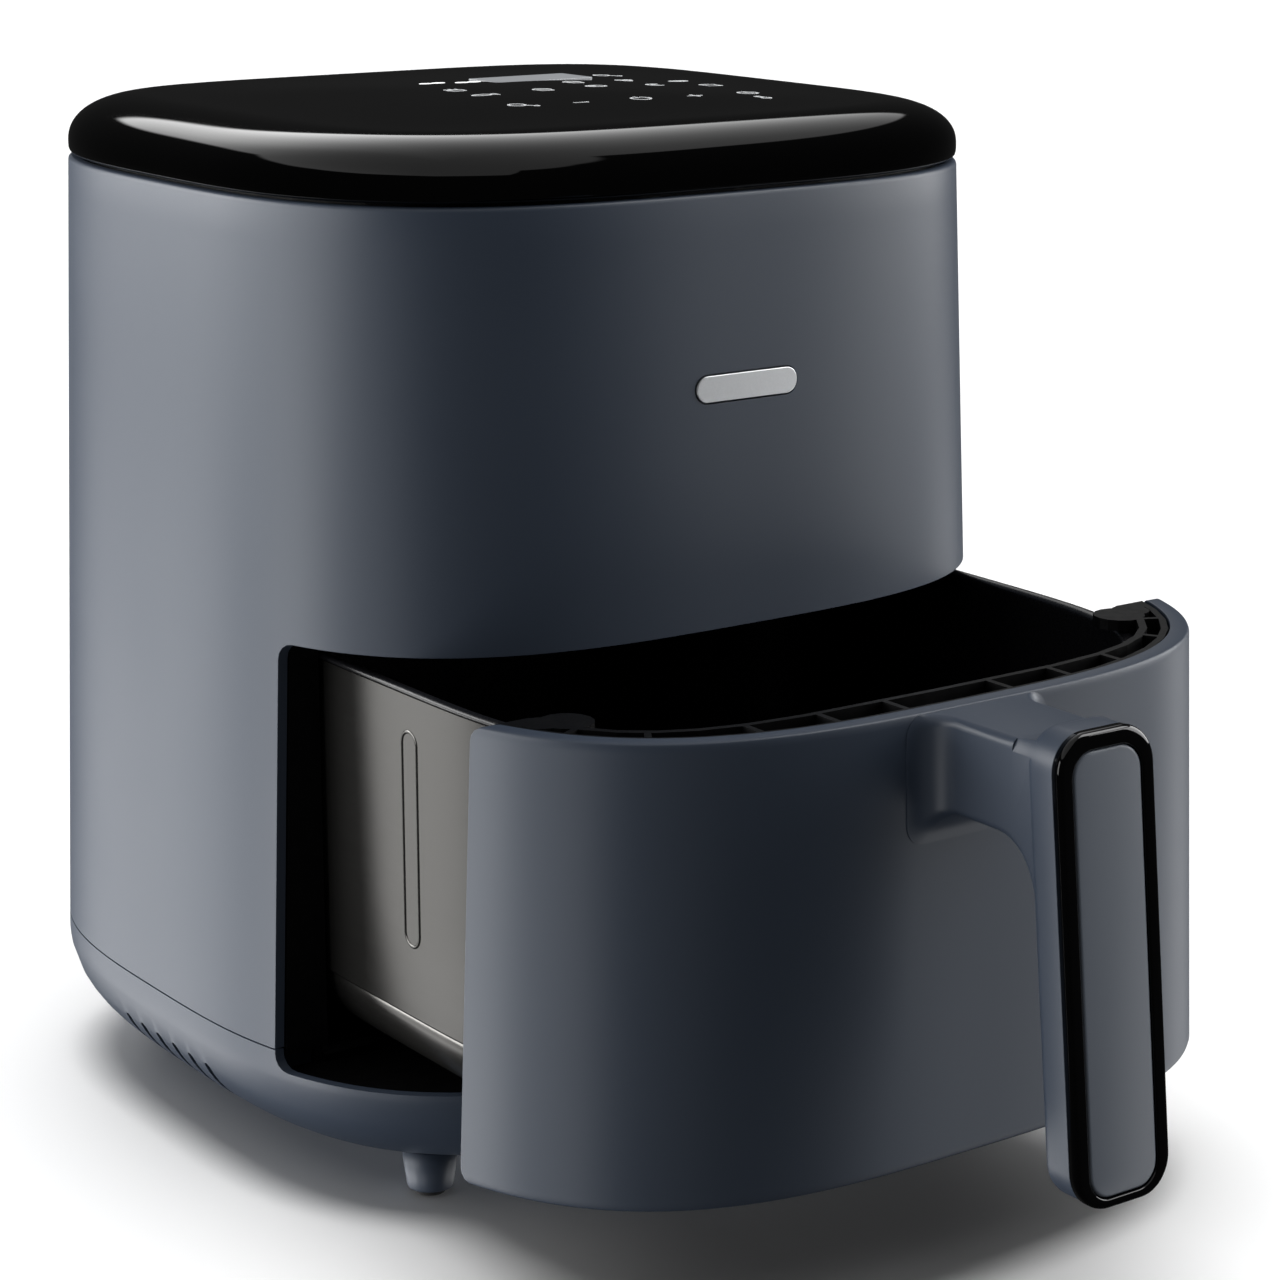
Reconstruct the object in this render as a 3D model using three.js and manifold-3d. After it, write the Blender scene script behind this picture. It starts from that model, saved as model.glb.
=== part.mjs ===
// Compact drawer air fryer: housing, lid, fan and heater, and a drawer with handle, pan and grill plate.
// Millimetres, +Z up, front towards -Y. The housing stands on four feet at z = 0 and the drawer is part open.
import * as THREE from 'three';
import { mergeVertices } from 'three/addons/utils/BufferGeometryUtils.js';
import Module from 'manifold-3d';

const wasm = await Module();
wasm.setup();

// ---- driving dimensions ----
const SEAM_Z = 47.5; // joint between the base tray and the shell
const HALF_W = 130.15; // half width of the housing at the joint
const HALF_D = 127.7; // half depth of the housing at the joint
const DRAFT = 0.0367; // inward taper per mm of height
const PLAN_N = 3.145; // exponent of the rounded-square plan
const SHELL_TOP = 290.6;
const WALL = 2.8;
const LID_Z = 291.4;
const LID_RX = 27.8;
const LID_RZ = 17.2;
const LID_DOME = 1.9;
const BASE_Z = 10;
const BASE_RX = 40.2;
const BASE_TOP = 44.2;
const OPEN_LOW = 41.6; // drawer opening
const OPEN_HIGH = 168;
const OPEN_Y = -64;
const OPEN_R = 5;
const GAP = 0.6; // running gap round the drawer front
const FRONT_LOW = 42.4;
const FRONT_HIGH = 167.2;
const DRAWER_OUT = 98.3; // how far the drawer stands open
const PAN_A = 106.4;
const PAN_B = 104;
const PAN_N = 4.1;
const PAN_TOP = 162.6;
const PAN_LOW = 47.2;
const PAN_SEAM = 67.3;
const PAN_R = 20;
const CAVITY_A = 111;
const CAVITY_B = 109;
const FOOT_X = 84.5;
const FOOT_Y = 81.7;
const GRIP_W = 16.2; // half width of the handle face
const GRIP_TOP = 171.1;
const GRIP_LOW = 47.9;
const GRIP_Y = -171.9; // handle face at its top, drawer closed
const GRIP_LEAN = 13.6 / 123.2; // how far the face leans out per mm downwards
const NECK_W = 15.2;
const NECK_TOP = 166.8;
const SEG = 48;

// ---- materials ----
function paint(color, metalness, roughness) {
  return new THREE.MeshStandardMaterial({ color, metalness, roughness });
}
const SLATE = paint(0x5f646e, 0.25, 0.42);
const GLOSS_BLACK = paint(0x0a0a0b, 0, 0.08);
const BLACK = paint(0x141416, 0, 0.5);
const RUBBER = paint(0x1b1b1c, 0, 0.9);
const PAN_GREY = paint(0x85847f, 0.7, 0.4);
const COATING = paint(0x0e0e0f, 0.1, 0.45);
const STEEL = paint(0xb4b6b8, 1, 0.35);
const INCONEL = paint(0x4a4742, 0.8, 0.55);
const ALUMINIUM = paint(0xc2c4c6, 1, 0.4);
const BOARD = paint(0x1d4a2c, 0, 0.6);
const GLASS = paint(0x3c4046, 0, 0.1);
const SCREW = paint(0x8f9296, 1, 0.35);

// ---- solids ----
function superellipse(a, b, n, z, cy = 0, count = SEG) {
  const points = [];
  for (let i = 0; i < count; i += 1) {
    const t = (i / count) * Math.PI * 2;
    const c = Math.cos(t);
    const s = Math.sin(t);
    const x = a * Math.sign(c) * Math.abs(c) ** (2 / n);
    const y = b * Math.sign(s) * Math.abs(s) ** (2 / n);
    points.push([x, y + cy, z]);
  }
  return points;
}

// A section of the housing, `off` inwards from its outside at height z.
function section(off, z) {
  const lean = DRAFT * (z - SEAM_Z);
  return superellipse(HALF_W - lean - off, HALF_D - lean - off, PLAN_N, z);
}

function panSection(off, z) {
  return superellipse(PAN_A - off, PAN_B - off, PAN_N, z, 0, 40);
}

// Skins a stack of sections; `loop` joins the last to the first, otherwise both ends are capped.
function loft(sections, loop = false, lowZ = null, highZ = null) {
  const count = sections[0].length;
  const position = sections.flat(2);
  const index = [];
  const rows = sections.length;
  const last = loop ? rows : rows - 1;
  for (let r = 0; r < last; r += 1) {
    const p = r * count;
    const q = ((r + 1) % rows) * count;
    for (let i = 0; i < count; i += 1) {
      const j = (i + 1) % count;
      index.push(p + i, p + j, q + j, p + i, q + j, q + i);
    }
  }
  if (!loop) {
    const cap = (row, z, flip) => {
      const centre = position.length / 3;
      const ring = sections[row];
      position.push(0, ring.reduce((sum, v) => sum + v[1], 0) / count, z ?? ring[0][2]);
      for (let i = 0; i < count; i += 1) {
        const j = (i + 1) % count;
        const a = row * count + i;
        const b = row * count + j;
        index.push(centre, flip ? b : a, flip ? a : b);
      }
    };
    cap(0, lowZ, true);
    cap(rows - 1, highZ, false);
  }
  const geometry = new THREE.BufferGeometry();
  geometry.setAttribute('position', new THREE.Float32BufferAttribute(position, 3));
  geometry.setIndex(index);
  return geometry;
}

function solid(geometry) {
  const bare = new THREE.BufferGeometry();
  bare.setAttribute('position', geometry.getAttribute('position').clone());
  if (geometry.index) bare.setIndex(geometry.index.clone());
  const merged = mergeVertices(bare, 1e-4);
  return new wasm.Manifold(new wasm.Mesh({
    numProp: 3,
    vertProperties: new Float32Array(merged.getAttribute('position').array),
    triVerts: new Uint32Array(merged.index.array),
  }));
}

function skin(manifold) {
  const mesh = manifold.getMesh();
  const geometry = new THREE.BufferGeometry();
  geometry.setAttribute('position', new THREE.Float32BufferAttribute(mesh.vertProperties, 3));
  geometry.setIndex(new THREE.Uint32BufferAttribute(mesh.triVerts, 1));
  return geometry;
}

function add(first, ...others) {
  return others.reduce((sum, other) => sum.add(solid(other)), solid(first));
}

function minus(base, ...cutters) {
  return cutters.reduce((sum, cutter) => sum.subtract(solid(cutter)), base);
}

function box(w, d, h, x, y, z) {
  return new THREE.BoxGeometry(w, d, h).translate(x, y, z);
}

// A block given by its limits.
function block(x0, x1, y0, y1, z0, z1) {
  return box(x1 - x0, y1 - y0, z1 - z0, (x0 + x1) / 2, (y0 + y1) / 2, (z0 + z1) / 2);
}

// Upright round bar from z0 to z1; a second radius makes it taper.
function post(r, z0, z1, x = 0, y = 0, segments = 16, topR = r) {
  return new THREE.CylinderGeometry(topR, r, z1 - z0, segments).rotateX(Math.PI / 2).translate(x, y, (z0 + z1) / 2);
}

// Round bar along Y from y0 to y1.
function pin(r, y0, y1, x, z, segments = 16, endR = r) {
  return new THREE.CylinderGeometry(endR, r, y1 - y0, segments).translate(x, (y0 + y1) / 2, z);
}

// Turned piece about the vertical axis; the profile is a closed run of [radius, z].
function turned(profile, segments = 36, x = 0, y = 0) {
  const points = profile.map(([r, z]) => new THREE.Vector2(r, z));
  const onAxis = profile[0][0] === 0;
  if (!onAxis) points.push(points[0].clone());
  return new THREE.LatheGeometry(points, segments).rotateX(Math.PI / 2).translate(x, y, 0);
}

// Rounded rectangle centred on (cx, cy).
function roundedShape(w, h, r, cx = 0, cy = 0) {
  const shape = new THREE.Shape();
  const x0 = cx - w / 2;
  const x1 = cx + w / 2;
  const y0 = cy - h / 2;
  const y1 = cy + h / 2;
  shape.moveTo(x0 + r, y0);
  shape.lineTo(x1 - r, y0);
  shape.absarc(x1 - r, y0 + r, r, -Math.PI / 2, 0, false);
  shape.lineTo(x1, y1 - r);
  shape.absarc(x1 - r, y1 - r, r, 0, Math.PI / 2, false);
  shape.lineTo(x0 + r, y1);
  shape.absarc(x0 + r, y1 - r, r, Math.PI / 2, Math.PI, false);
  shape.lineTo(x0, y0 + r);
  shape.absarc(x0 + r, y0 + r, r, Math.PI, Math.PI * 1.5, false);
  return shape;
}

function extrude(shape, depth, curveSegments = 6, bevel = 0) {
  return new THREE.ExtrudeGeometry(shape, {
    depth: depth - 2 * bevel,
    curveSegments,
    bevelEnabled: bevel > 0,
    bevelThickness: bevel,
    bevelSize: bevel,
    bevelOffset: -bevel,
    bevelSegments: 2,
  }).translate(0, 0, bevel);
}

// Puts an extrusion drawn in (y, z) across the X axis, from x0.
function across(geometry, x0) {
  const turn = new THREE.Matrix4().set(0, 0, 1, x0, 1, 0, 0, 0, 0, 1, 0, 0, 0, 0, 0, 1);
  return geometry.applyMatrix4(turn);
}

// Everything in front of the side edges of the drawer opening, as a rounded bar across the housing.
function openingBar(edgeY, low, high, r) {
  const depth = 220;
  const shape = roundedShape(depth, high - low, r, edgeY - depth / 2, (low + high) / 2);
  return across(extrude(shape, 400, 4), -200);
}

const group = new THREE.Group();
const drawerParts = [];

function part(name, manifoldOrGeometry, material, inDrawer = false) {
  const geometry = manifoldOrGeometry.isBufferGeometry
    ? skin(solid(manifoldOrGeometry))
    : skin(manifoldOrGeometry);
  if (inDrawer) geometry.translate(0, -DRAWER_OUT, 0);
  const mesh = new THREE.Mesh(geometry, material);
  mesh.name = name;
  group.add(mesh);
  if (inDrawer) drawerParts.push(name);
}

// Points of a quarter ellipse as [inset, z], from its upright end to its flat end.
function quarter(inset, z, rx, rz, steps) {
  const points = [];
  for (let i = 0; i <= steps; i += 1) {
    const t = (i / steps) * Math.PI * 0.5;
    points.push([inset + rx * (1 - Math.cos(t)), z + rz * Math.sin(t)]);
  }
  return points;
}

// Faces the front: a shape drawn in (x, z) becomes a plate whose back is at y and which is `depth` thick.
function facing(shape, depth, y, curveSegments = 6, bevel = 0) {
  return extrude(shape, depth, curveSegments, bevel).rotateX(Math.PI / 2).translate(0, y, 0);
}

// Slides a geometry along Y in proportion to its height above `level`.
function sheared(geometry, slope, level) {
  return geometry.applyMatrix4(new THREE.Matrix4().set(1, 0, 0, 0, 0, 1, slope, -slope * level, 0, 0, 1, 0, 0, 0, 0, 1));
}

const frontAt = (z) => -(HALF_D - DRAFT * (z - SEAM_Z));
const housingBlock = (off, z0, z1) => loft([section(off, z0), section(off, z1)]);
const panBlock = (off, z0, z1) => loft([panSection(off, z0), panSection(off, z1)]);

// ---- housing ----
const drawerOpening = openingBar(OPEN_Y, OPEN_LOW, OPEN_HIGH, OPEN_R);
const SIDES = [['left', -1], ['right', 1]];
const ENDS = [['front', -1], ['back', 1]];

// Outer shell with the drawer opening, the rear vent, the cord hole and a pocket for the badge.
const VENT_W = 46;
const VENT_LOW = 188;
const VENT_HIGH = 236;
const CORD_X = 40;
const CORD_Z = 66;
const BADGE_Z = 236.6;
const shellRings = [
  [0, SEAM_Z + 0.4], [0, SHELL_TOP - 1.2], [0.35, SHELL_TOP - 0.35], [1.2, SHELL_TOP],
  [WALL, SHELL_TOP], [WALL, SEAM_Z + 0.4],
].map(([off, z]) => section(off, z));
part('outer_shell', minus(
  solid(loft(shellRings, true)),
  drawerOpening,
  block(-VENT_W - 0.4, VENT_W + 0.4, 90, 140, VENT_LOW - 0.4, VENT_HIGH + 0.4),
  pin(6.8, 100, 140, CORD_X, CORD_Z),
  facing(roundedShape(36, 8.4, 4.1, 0, BADGE_Z), 6, frontAt(BADGE_Z) + 1),
), SLATE);
part('badge', facing(roundedShape(35.2, 7.6, 3.7, 0, BADGE_Z), 1.1, frontAt(BADGE_Z) + 0.7), ALUMINIUM);

// Base tray: a dish with four foot bosses, cooling slots along both sides and four screw holes.
const VENT_SLOTS = 6;
const VENT_PITCH = 10.2;
const baseOuter = [[0, SEAM_Z], ...quarter(0, BASE_TOP, BASE_RX, BASE_TOP - BASE_Z, 5).map(([off, z]) => [off, 2 * BASE_TOP - z])];
const baseInner = [[2.6, SEAM_Z], ...quarter(2.6, BASE_TOP, BASE_RX - 2.6, BASE_TOP - BASE_Z - 2.6, 4)
  .map(([off, z]) => [off, 2 * BASE_TOP - z])];
const baseRings = [...baseOuter.reverse(), ...baseInner].map(([off, z]) => section(off, z));
const feet = SIDES.flatMap(([side, sx]) => ENDS.map(([end, sy]) => ({
  name: `${end}_${side}`, x: sx * FOOT_X, y: sy * FOOT_Y, screwX: sx * 60, screwY: sy * 55,
})));
let baseTray = solid(loft(baseRings));
for (const foot of feet) baseTray = baseTray.add(solid(post(6.85, 2, 15, foot.x, foot.y, 16, 8.5)));
for (const foot of feet) {
  baseTray = minus(baseTray, post(5, -1, 3.8, foot.x, foot.y, 16), post(2.2, 5, 15, foot.screwX, foot.screwY, 12));
}
for (const [, sx] of SIDES) {
  for (let i = 0; i < VENT_SLOTS; i += 1) {
    const y = (i - (VENT_SLOTS - 1) / 2) * VENT_PITCH;
    baseTray = minus(baseTray, box(40, 3, 17, sx * 122, y, 23));
  }
}
part('base_tray', minus(baseTray, drawerOpening), SLATE);
for (const foot of feet) {
  part(`foot_pad_${foot.name}`, turned([[0, 0], [4, 0], [4.6, 0.6], [4.6, 3.4], [0, 3.4]], 14, foot.x, foot.y), RUBBER);
  part(`base_screw_${foot.name}`, add(
    post(3.6, 8.1, 9.7, foot.screwX, foot.screwY, 14),
    post(1.7, 9, 21, foot.screwX, foot.screwY, 10),
  ), SCREW);
}

// Lid: one glossy cap with a pocket for the display window, over a recessed joint ring.
const DISPLAY = { x: 28, y: 30, w: 36, d: 18 };
const LID_ROLL = 2.6; // the lower edge rolls under by this height
const lidOuter = [
  [1.8, LID_Z], [0.75, LID_Z + 0.6], [0.15, LID_Z + 1.6],
  ...quarter(0, LID_Z + LID_ROLL, LID_RX, LID_RZ - LID_ROLL, 6),
];
const lidInner = quarter(WALL + 0.3, LID_Z, LID_RX - WALL - 0.3, LID_RZ - WALL, 4);
const lidTop = LID_Z + LID_RZ;
const domeRing = (scale) => section(LID_RX, lidTop).map(([x, y]) => [x * scale, y * scale, lidTop + LID_DOME * (1 - scale ** 2)]);
const lidRings = [
  ...lidInner.reverse().map(([off, z]) => section(off, z)),
  ...lidOuter.map(([off, z]) => section(off, z)),
  domeRing(0.72),
  domeRing(0.4),
];
const lidPocket = block(
  DISPLAY.x - DISPLAY.w / 2 - 0.3, DISPLAY.x + DISPLAY.w / 2 + 0.3,
  DISPLAY.y - DISPLAY.d / 2 - 0.3, DISPLAY.y + DISPLAY.d / 2 + 0.3, 308.6, 320,
);
part('lid', minus(solid(loft(lidRings, false, lidTop - WALL + 0.8, lidTop + LID_DOME)), lidPocket), GLOSS_BLACK);
part('display_window', box(DISPLAY.w, DISPLAY.d, 1.1, DISPLAY.x, DISPLAY.y, 309.5), GLASS);
part('joint_ring', loft([[4.4, 285], [4.4, 293.5], [6.4, 293.5], [6.4, 285]].map(([off, z]) => section(off, z)), true), BLACK);

// Circuit board for the touch controls, hung under the lid.
const boardPosts = [[-52, -37], [52, -37], [-52, 37], [52, 37]].map(([x, y]) => post(3, 297, 304.6, x, y, 10));
part('control_board', add(box(120, 90, 1.6, 0, 0, 296.6), ...boardPosts, box(34, 22, 5, -20, 0, 299)), BOARD);

// Cavity liner: the box that the pan slides into, with a frame out to the shell and a round hole overhead.
const CAVITY_TOP = 176;
const cavitySection = (grow, z) => superellipse(CAVITY_A + grow, CAVITY_B + grow, PAN_N, z, 0, 36);
const cavitySpace = loft([cavitySection(0, 44.6), cavitySection(0, CAVITY_TOP)]);
const cavityWall = solid(loft([cavitySection(1.6, 43), cavitySection(1.6, CAVITY_TOP + 1.6)]));
const frontFrame = solid(housingBlock(3.3, 44.8, CAVITY_TOP)).intersect(solid(block(-140, 140, OPEN_Y, OPEN_Y + 2.4, 44.8, CAVITY_TOP)));
const frontFloor = solid(housingBlock(4.3, 38.4, 40.2)).intersect(solid(block(-140, 140, -140, OPEN_Y + 2.4, 38.4, 40.2)));
const floorLink = solid(block(-112, 112, OPEN_Y, OPEN_Y + 2.4, 39, 46));
part('cavity_liner', minus(
  minus(cavityWall.add(frontFrame).add(floorLink), drawerOpening).add(frontFloor),
  cavitySpace,
  post(91, 170, 180, 0, 0, 36),
  pin(2.6, 100, 120, 30, 150, 12),
), BLACK);
for (const [side, sx] of SIDES) {
  part(`pan_runner_${side}`, block(sx * 60 - 3, sx * 60 + 3, -56, 92, 44.95, 46.8), ALUMINIUM);
}

// Hot air system: steel chamber, heating coil, fan below, cooling fan and motor above.
const chamber = turned([
  [98, 178], [98, 179.2], [92.6, 179.2], [90, 206], [70, 214], [8, 214], [8, 212.8], [69.6, 212.8], [88.8, 205.1], [91.3, 178],
], 28);
part('air_chamber', minus(solid(chamber), post(4.2, 200, 220, -13, -78, 10), post(4.2, 200, 220, 13, -78, 10)), STEEL);
const coilPoints = [new THREE.Vector3(13, -78, 224), new THREE.Vector3(13, -78, 205), new THREE.Vector3(13, -78, 194)];
for (let i = 0; i <= 22; i += 1) {
  const t = -Math.PI / 2 + 0.3 + (i / 22) * (Math.PI * 2 - 0.6);
  coilPoints.push(new THREE.Vector3(79 * Math.cos(t), 79 * Math.sin(t), 188));
}
coilPoints.push(new THREE.Vector3(-13, -78, 194), new THREE.Vector3(-13, -78, 205), new THREE.Vector3(-13, -78, 224));
const coilSection = new THREE.Shape(Array.from({ length: 6 }, (_, i) => (
  new THREE.Vector2(3 * Math.cos((i / 6) * Math.PI * 2), 3 * Math.sin((i / 6) * Math.PI * 2))
)));
const coilPath = new THREE.CatmullRomCurve3(coilPoints, false, 'centripetal');
part('heating_coil', new THREE.ExtrudeGeometry(coilSection, { steps: 56, extrudePath: coilPath, bevelEnabled: false }), INCONEL);

function bladedFan(blades, r0, r1, z0, z1, plateZ, pitch) {
  const pieces = [];
  for (let i = 0; i < blades; i += 1) {
    pieces.push(new THREE.BoxGeometry(r1 - r0, 1.4, z1 - z0)
      .rotateX(pitch)
      .translate((r0 + r1) / 2, 0, (z0 + z1) / 2)
      .rotateZ((i / blades) * Math.PI * 2));
  }
  return add(turned([[3.4, z0], [9, z0], [9, z1], [3.4, z1]], 14), ...pieces, turned([[6, plateZ], [r1 - 4, plateZ], [r1 - 4, plateZ + 1.2], [6, plateZ + 1.2]], 20));
}
part('hot_fan', bladedFan(8, 7, 52, 195, 206, 205, 0), STEEL);
part('cooling_fan', bladedFan(7, 7, 40, 221, 228, 223.9, 0.35), BLACK);
part('motor_shaft', post(3, 193, 272, 0, 0, 14), STEEL);
part('motor', turned([[3.5, 237], [12, 237], [12, 240], [30, 240], [30, 264], [11, 266], [11, 269], [3.5, 269]], 20), STEEL);
const bracketArms = [0, 1, 2, 3].flatMap((i) => {
  const turn = Math.PI / 4 + (i * Math.PI) / 2;
  return [
    box(58, 9, 2, 57, 0, 234.5).rotateZ(turn),
    box(4, 9, 25.7, 84, 0, 222.65).rotateZ(turn),
  ];
});
part('motor_bracket', add(turned([[4, 233.5], [33, 233.5], [33, 235.5], [4, 235.5]], 20), ...bracketArms), STEEL);
part('thermostat', turned([[0, 214.4], [9, 214.4], [9, 219], [5, 220], [5, 226], [0, 226]], 20, 58, 0), BLACK);

// Rear outlet: duct and grille; cord gland below, with no cord.
part('exhaust_duct', minus(solid(block(-42, 42, 99.5, 117, 190, 234)), block(-40, 40, 90, 130, 192, 232)), STEEL);
const grilleSlots = Array.from({ length: 7 }, (_, i) => block(-40, 40, 100, 130, 192.6 + i * 5.9, 196 + i * 5.9));
part('exhaust_grille', minus(solid(block(-VENT_W, VENT_W, 117.9, 122.4, VENT_LOW, VENT_HIGH)), ...grilleSlots), BLACK);
part('cord_gland', minus(
  add(pin(6.2, 119, 127.5, CORD_X, CORD_Z, 20), pin(9, 127.3, 129.3, CORD_X, CORD_Z, 20), pin(6, 129, 134, CORD_X, CORD_Z, 20, 4.6)),
  pin(3.5, 110, 140, CORD_X, CORD_Z, 16),
), BLACK);

// Drawer switch behind the cavity; the closed pan stops just short of its plunger.
part('switch_body', minus(solid(block(20, 40, 113.2, 118.8, 145, 155)), pin(2.4, 110, 118.3, 30, 150, 12)), BLACK);
part('switch_plunger', add(pin(3.6, 104.7, 106.2, 30, 150, 14), pin(2, 105.6, 115.4, 30, 150, 12)), ALUMINIUM);

// Power board in the base.
part('power_board', add(
  block(-45, 45, -10, 60, 17, 18.6), block(-38, -12, 2, 30, 18, 38), post(9, 18, 36, 12, 14, 16),
  post(7, 18, 32, 34, 40, 16), block(-30, 10, 40, 54, 18, 28),
  ...[[-40, -5], [40, -5], [-40, 55], [40, 55]].map(([x, y]) => post(2.5, 12.9, 17.5, x, y, 10)),
), BOARD);

// ---- drawer, drawn closed and moved out by `part` ----
const drawerBar = (shrink) => openingBar(OPEN_Y - GAP - shrink, FRONT_LOW + shrink, FRONT_HIGH - shrink, OPEN_R - GAP);
const LIP = 4.8;
const frontRings = [
  [0.9, FRONT_LOW], [0, FRONT_LOW + 0.9], [0, FRONT_HIGH - 1], [0.3, FRONT_HIGH - 0.3], [1, FRONT_HIGH],
  [LIP, FRONT_HIGH], [LIP, FRONT_HIGH - 3.7], [3, FRONT_HIGH - 3.7], [3, FRONT_LOW + 3], [7, FRONT_LOW + 3], [7, FRONT_LOW],
].map(([off, z]) => section(off, z));
const handleScrews = [['left', -8], ['right', 8]];
const SCREW_Z = 153;
part('drawer_front', minus(
  solid(loft(frontRings, true)).intersect(solid(drawerBar(0))),
  ...handleScrews.map(([, x]) => pin(2.5, -130, -115, x, SCREW_Z, 12)),
), SLATE, true);

// Front liner: inner wall and a deck of open cells between the drawer front and the pan.
const DECK_LOW = 150;
const DECK_TOP = 166.6;
const wallRings = [[3.4, 46], [3.4, 163.1], [5.4, 163.1], [5.4, 46]].map(([off, z]) => section(off, z));
const ahead = (y) => solid(block(-140, 140, -140, y, 0, 200));
const crescent = minus(solid(housingBlock(5.2, DECK_LOW, DECK_TOP)), panBlock(-1.3, 100, 200)).intersect(ahead(-66.2));
const cellRibs = [-62, -40, -18, 18, 40, 62].map((x) => box(1.8, 40, 30, x, -112, 165));
for (const sx of [-1, 1]) {
  cellRibs.push(new THREE.BoxGeometry(1.8, 44, 30).rotateZ(sx * 0.55).translate(sx * 88, -98, 165));
  cellRibs.push(new THREE.BoxGeometry(1.8, 44, 30).rotateZ(sx * 1.1).translate(sx * 104, -84, 165));
}
const cells = minus(minus(solid(housingBlock(7, DECK_LOW + 2, 172)), panBlock(-3.2, 100, 200)).intersect(ahead(-72)), ...cellRibs);
const lobes = [-1, 1].flatMap((sx) => [
  post(7.5, 163.4, DECK_TOP, sx * 97, -74.2, 16),
  post(5.6, 163.4, DECK_TOP, sx * 103.4, -72.2, 16),
]);
const brackets = [-1, 1].map((sx) => block(sx * 32 - 2, sx * 32 + 2, -119.5, -105, 60, 152));
let frontLiner = solid(loft(wallRings, true)).intersect(ahead(-65.2)).add(crescent).subtract(cells);
for (const piece of [...lobes, ...brackets]) frontLiner = frontLiner.add(solid(piece));
part('front_liner', minus(frontLiner, ...handleScrews.map(([, x]) => pin(4.6, -130, -112, x, SCREW_Z, 14))), BLACK, true);

// Pan: a satin metal jacket outside and a coated bowl with a rolled rim inside it.
const flip = (points, level) => points.map(([off, z]) => [off, 2 * level - z]);
const jacketRings = [
  ...flip(quarter(1, PAN_SEAM - 0.6, PAN_R, PAN_SEAM - 0.6 - PAN_LOW, 4), PAN_SEAM - 0.6).reverse(),
  [0, PAN_SEAM], [0, PAN_TOP - 2], [1.3, PAN_TOP - 2],
  ...flip(quarter(2.3, PAN_SEAM - 0.6, PAN_R - 1.3, PAN_SEAM - 1.9 - PAN_LOW, 3), PAN_SEAM - 0.6),
].map(([off, z]) => panSection(off, z));
const embossShape = () => roundedShape(9.4, 63.8, 4.6, -11.8, 119.6);
part('pan_jacket', add(
  loft(jacketRings),
  across(extrude(embossShape(), 1.5, 4), PAN_A - 0.9),
  across(extrude(embossShape(), 1.5, 4), -PAN_A - 0.6),
), PAN_GREY, true);
const bowlRings = [
  ...flip(quarter(2.7, PAN_SEAM - 0.6, PAN_R - 1.3, PAN_SEAM - 0.6 - PAN_LOW - 1.8, 3), PAN_SEAM - 0.6).reverse(),
  [1.7, PAN_TOP - 1.6], [-0.5, PAN_TOP - 1.6], [-0.8, PAN_TOP - 0.8], [-0.3, PAN_TOP - 0.1], [0.8, PAN_TOP + 0.1],
  [2.4, PAN_TOP - 0.4], [2.9, PAN_TOP - 1.6],
  ...flip(quarter(3.9, PAN_SEAM - 0.6, PAN_R - 2.5, PAN_SEAM - 0.6 - PAN_LOW - 3, 4), PAN_SEAM - 0.6),
].map(([off, z]) => panSection(off, z));
part('pan_bowl', loft(bowlRings), COATING, true);

// Grill plate: a perforated plate with a turned-down edge and a lifting loop, on four soft bumpers.
const PLATE_Z = 66;
const plateEdge = loft([[0, PLATE_Z - 5], [0, PLATE_Z + 1.6], [1.6, PLATE_Z + 1.6], [1.6, PLATE_Z - 5]]
  .map(([off, z]) => superellipse(98 - off, 95.6 - off, PAN_N, z, 0, 32)), true);
const plateDisc = loft([PLATE_Z, PLATE_Z + 1.6].map((z) => superellipse(97.4, 95, PAN_N, z, 0, 32)));
const holes = [];
for (let row = -2; row <= 2; row += 1) {
  for (let column = -2; column <= 2; column += 1) {
    if (row !== 0 || column !== 0) holes.push(post(5.5, PLATE_Z - 2, PLATE_Z + 4, column * 32, row * 32, 6));
  }
}
const loop = facing(roundedShape(26, 18, 5, 0, PLATE_Z + 9), 4, 2, 4);
const loopHole = facing(roundedShape(17, 9, 3, 0, PLATE_Z + 9.6), 8, 4, 4);
part('grill_plate', minus(add(plateDisc, plateEdge, loop), ...holes, loopHole), COATING, true);
for (const [side, sx] of SIDES) {
  for (const [end, sy] of ENDS) {
    part(`grill_bumper_${end}_${side}`, box(2.4, 13, 5, sx * 99.6, sy * 36, PLATE_Z + 1.2), RUBBER, true);
  }
}

// Handle: neck and grip in one, a glossy frame on its face and an inlay inside the frame.
const grip = (w, h, rTop, z) => roundedShape(w, h, rTop, 0, z);
const gripMid = (GRIP_TOP + GRIP_LOW) / 2;
const gripTall = GRIP_TOP - GRIP_LOW;
const lean = (geometry) => sheared(geometry, GRIP_LEAN, GRIP_TOP);
const gripBody = minus(
  solid(lean(facing(grip(GRIP_W * 2 - 0.6, gripTall - 0.6, 10, gripMid), 13.4, GRIP_Y + 13.6, 7, 2.4))),
  lean(block(-30, 30, GRIP_Y - 10, GRIP_Y + 3.3, 30, 190)),
);
const neckProfile = new THREE.Shape();
neckProfile.moveTo(frontAt(141) - 0.3, 141);
neckProfile.lineTo(-148, 140.8);
neckProfile.quadraticCurveTo(-162.6, 140.2, -165, 117);
neckProfile.lineTo(-172, 112);
neckProfile.lineTo(-168.2, 168.9);
neckProfile.lineTo(-152, NECK_TOP);
neckProfile.lineTo(frontAt(NECK_TOP) - 0.3, NECK_TOP);
neckProfile.closePath();
const neck = solid(across(extrude(neckProfile, NECK_W * 2, 8), -NECK_W));
const gripPrism = solid(lean(facing(grip(GRIP_W * 2 - 0.6, gripTall - 0.6, 10, gripMid), 60, GRIP_Y + 50, 7)));
const neckRear = neck.intersect(solid(block(-40, 40, -152, -100, 100, 200)));
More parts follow.
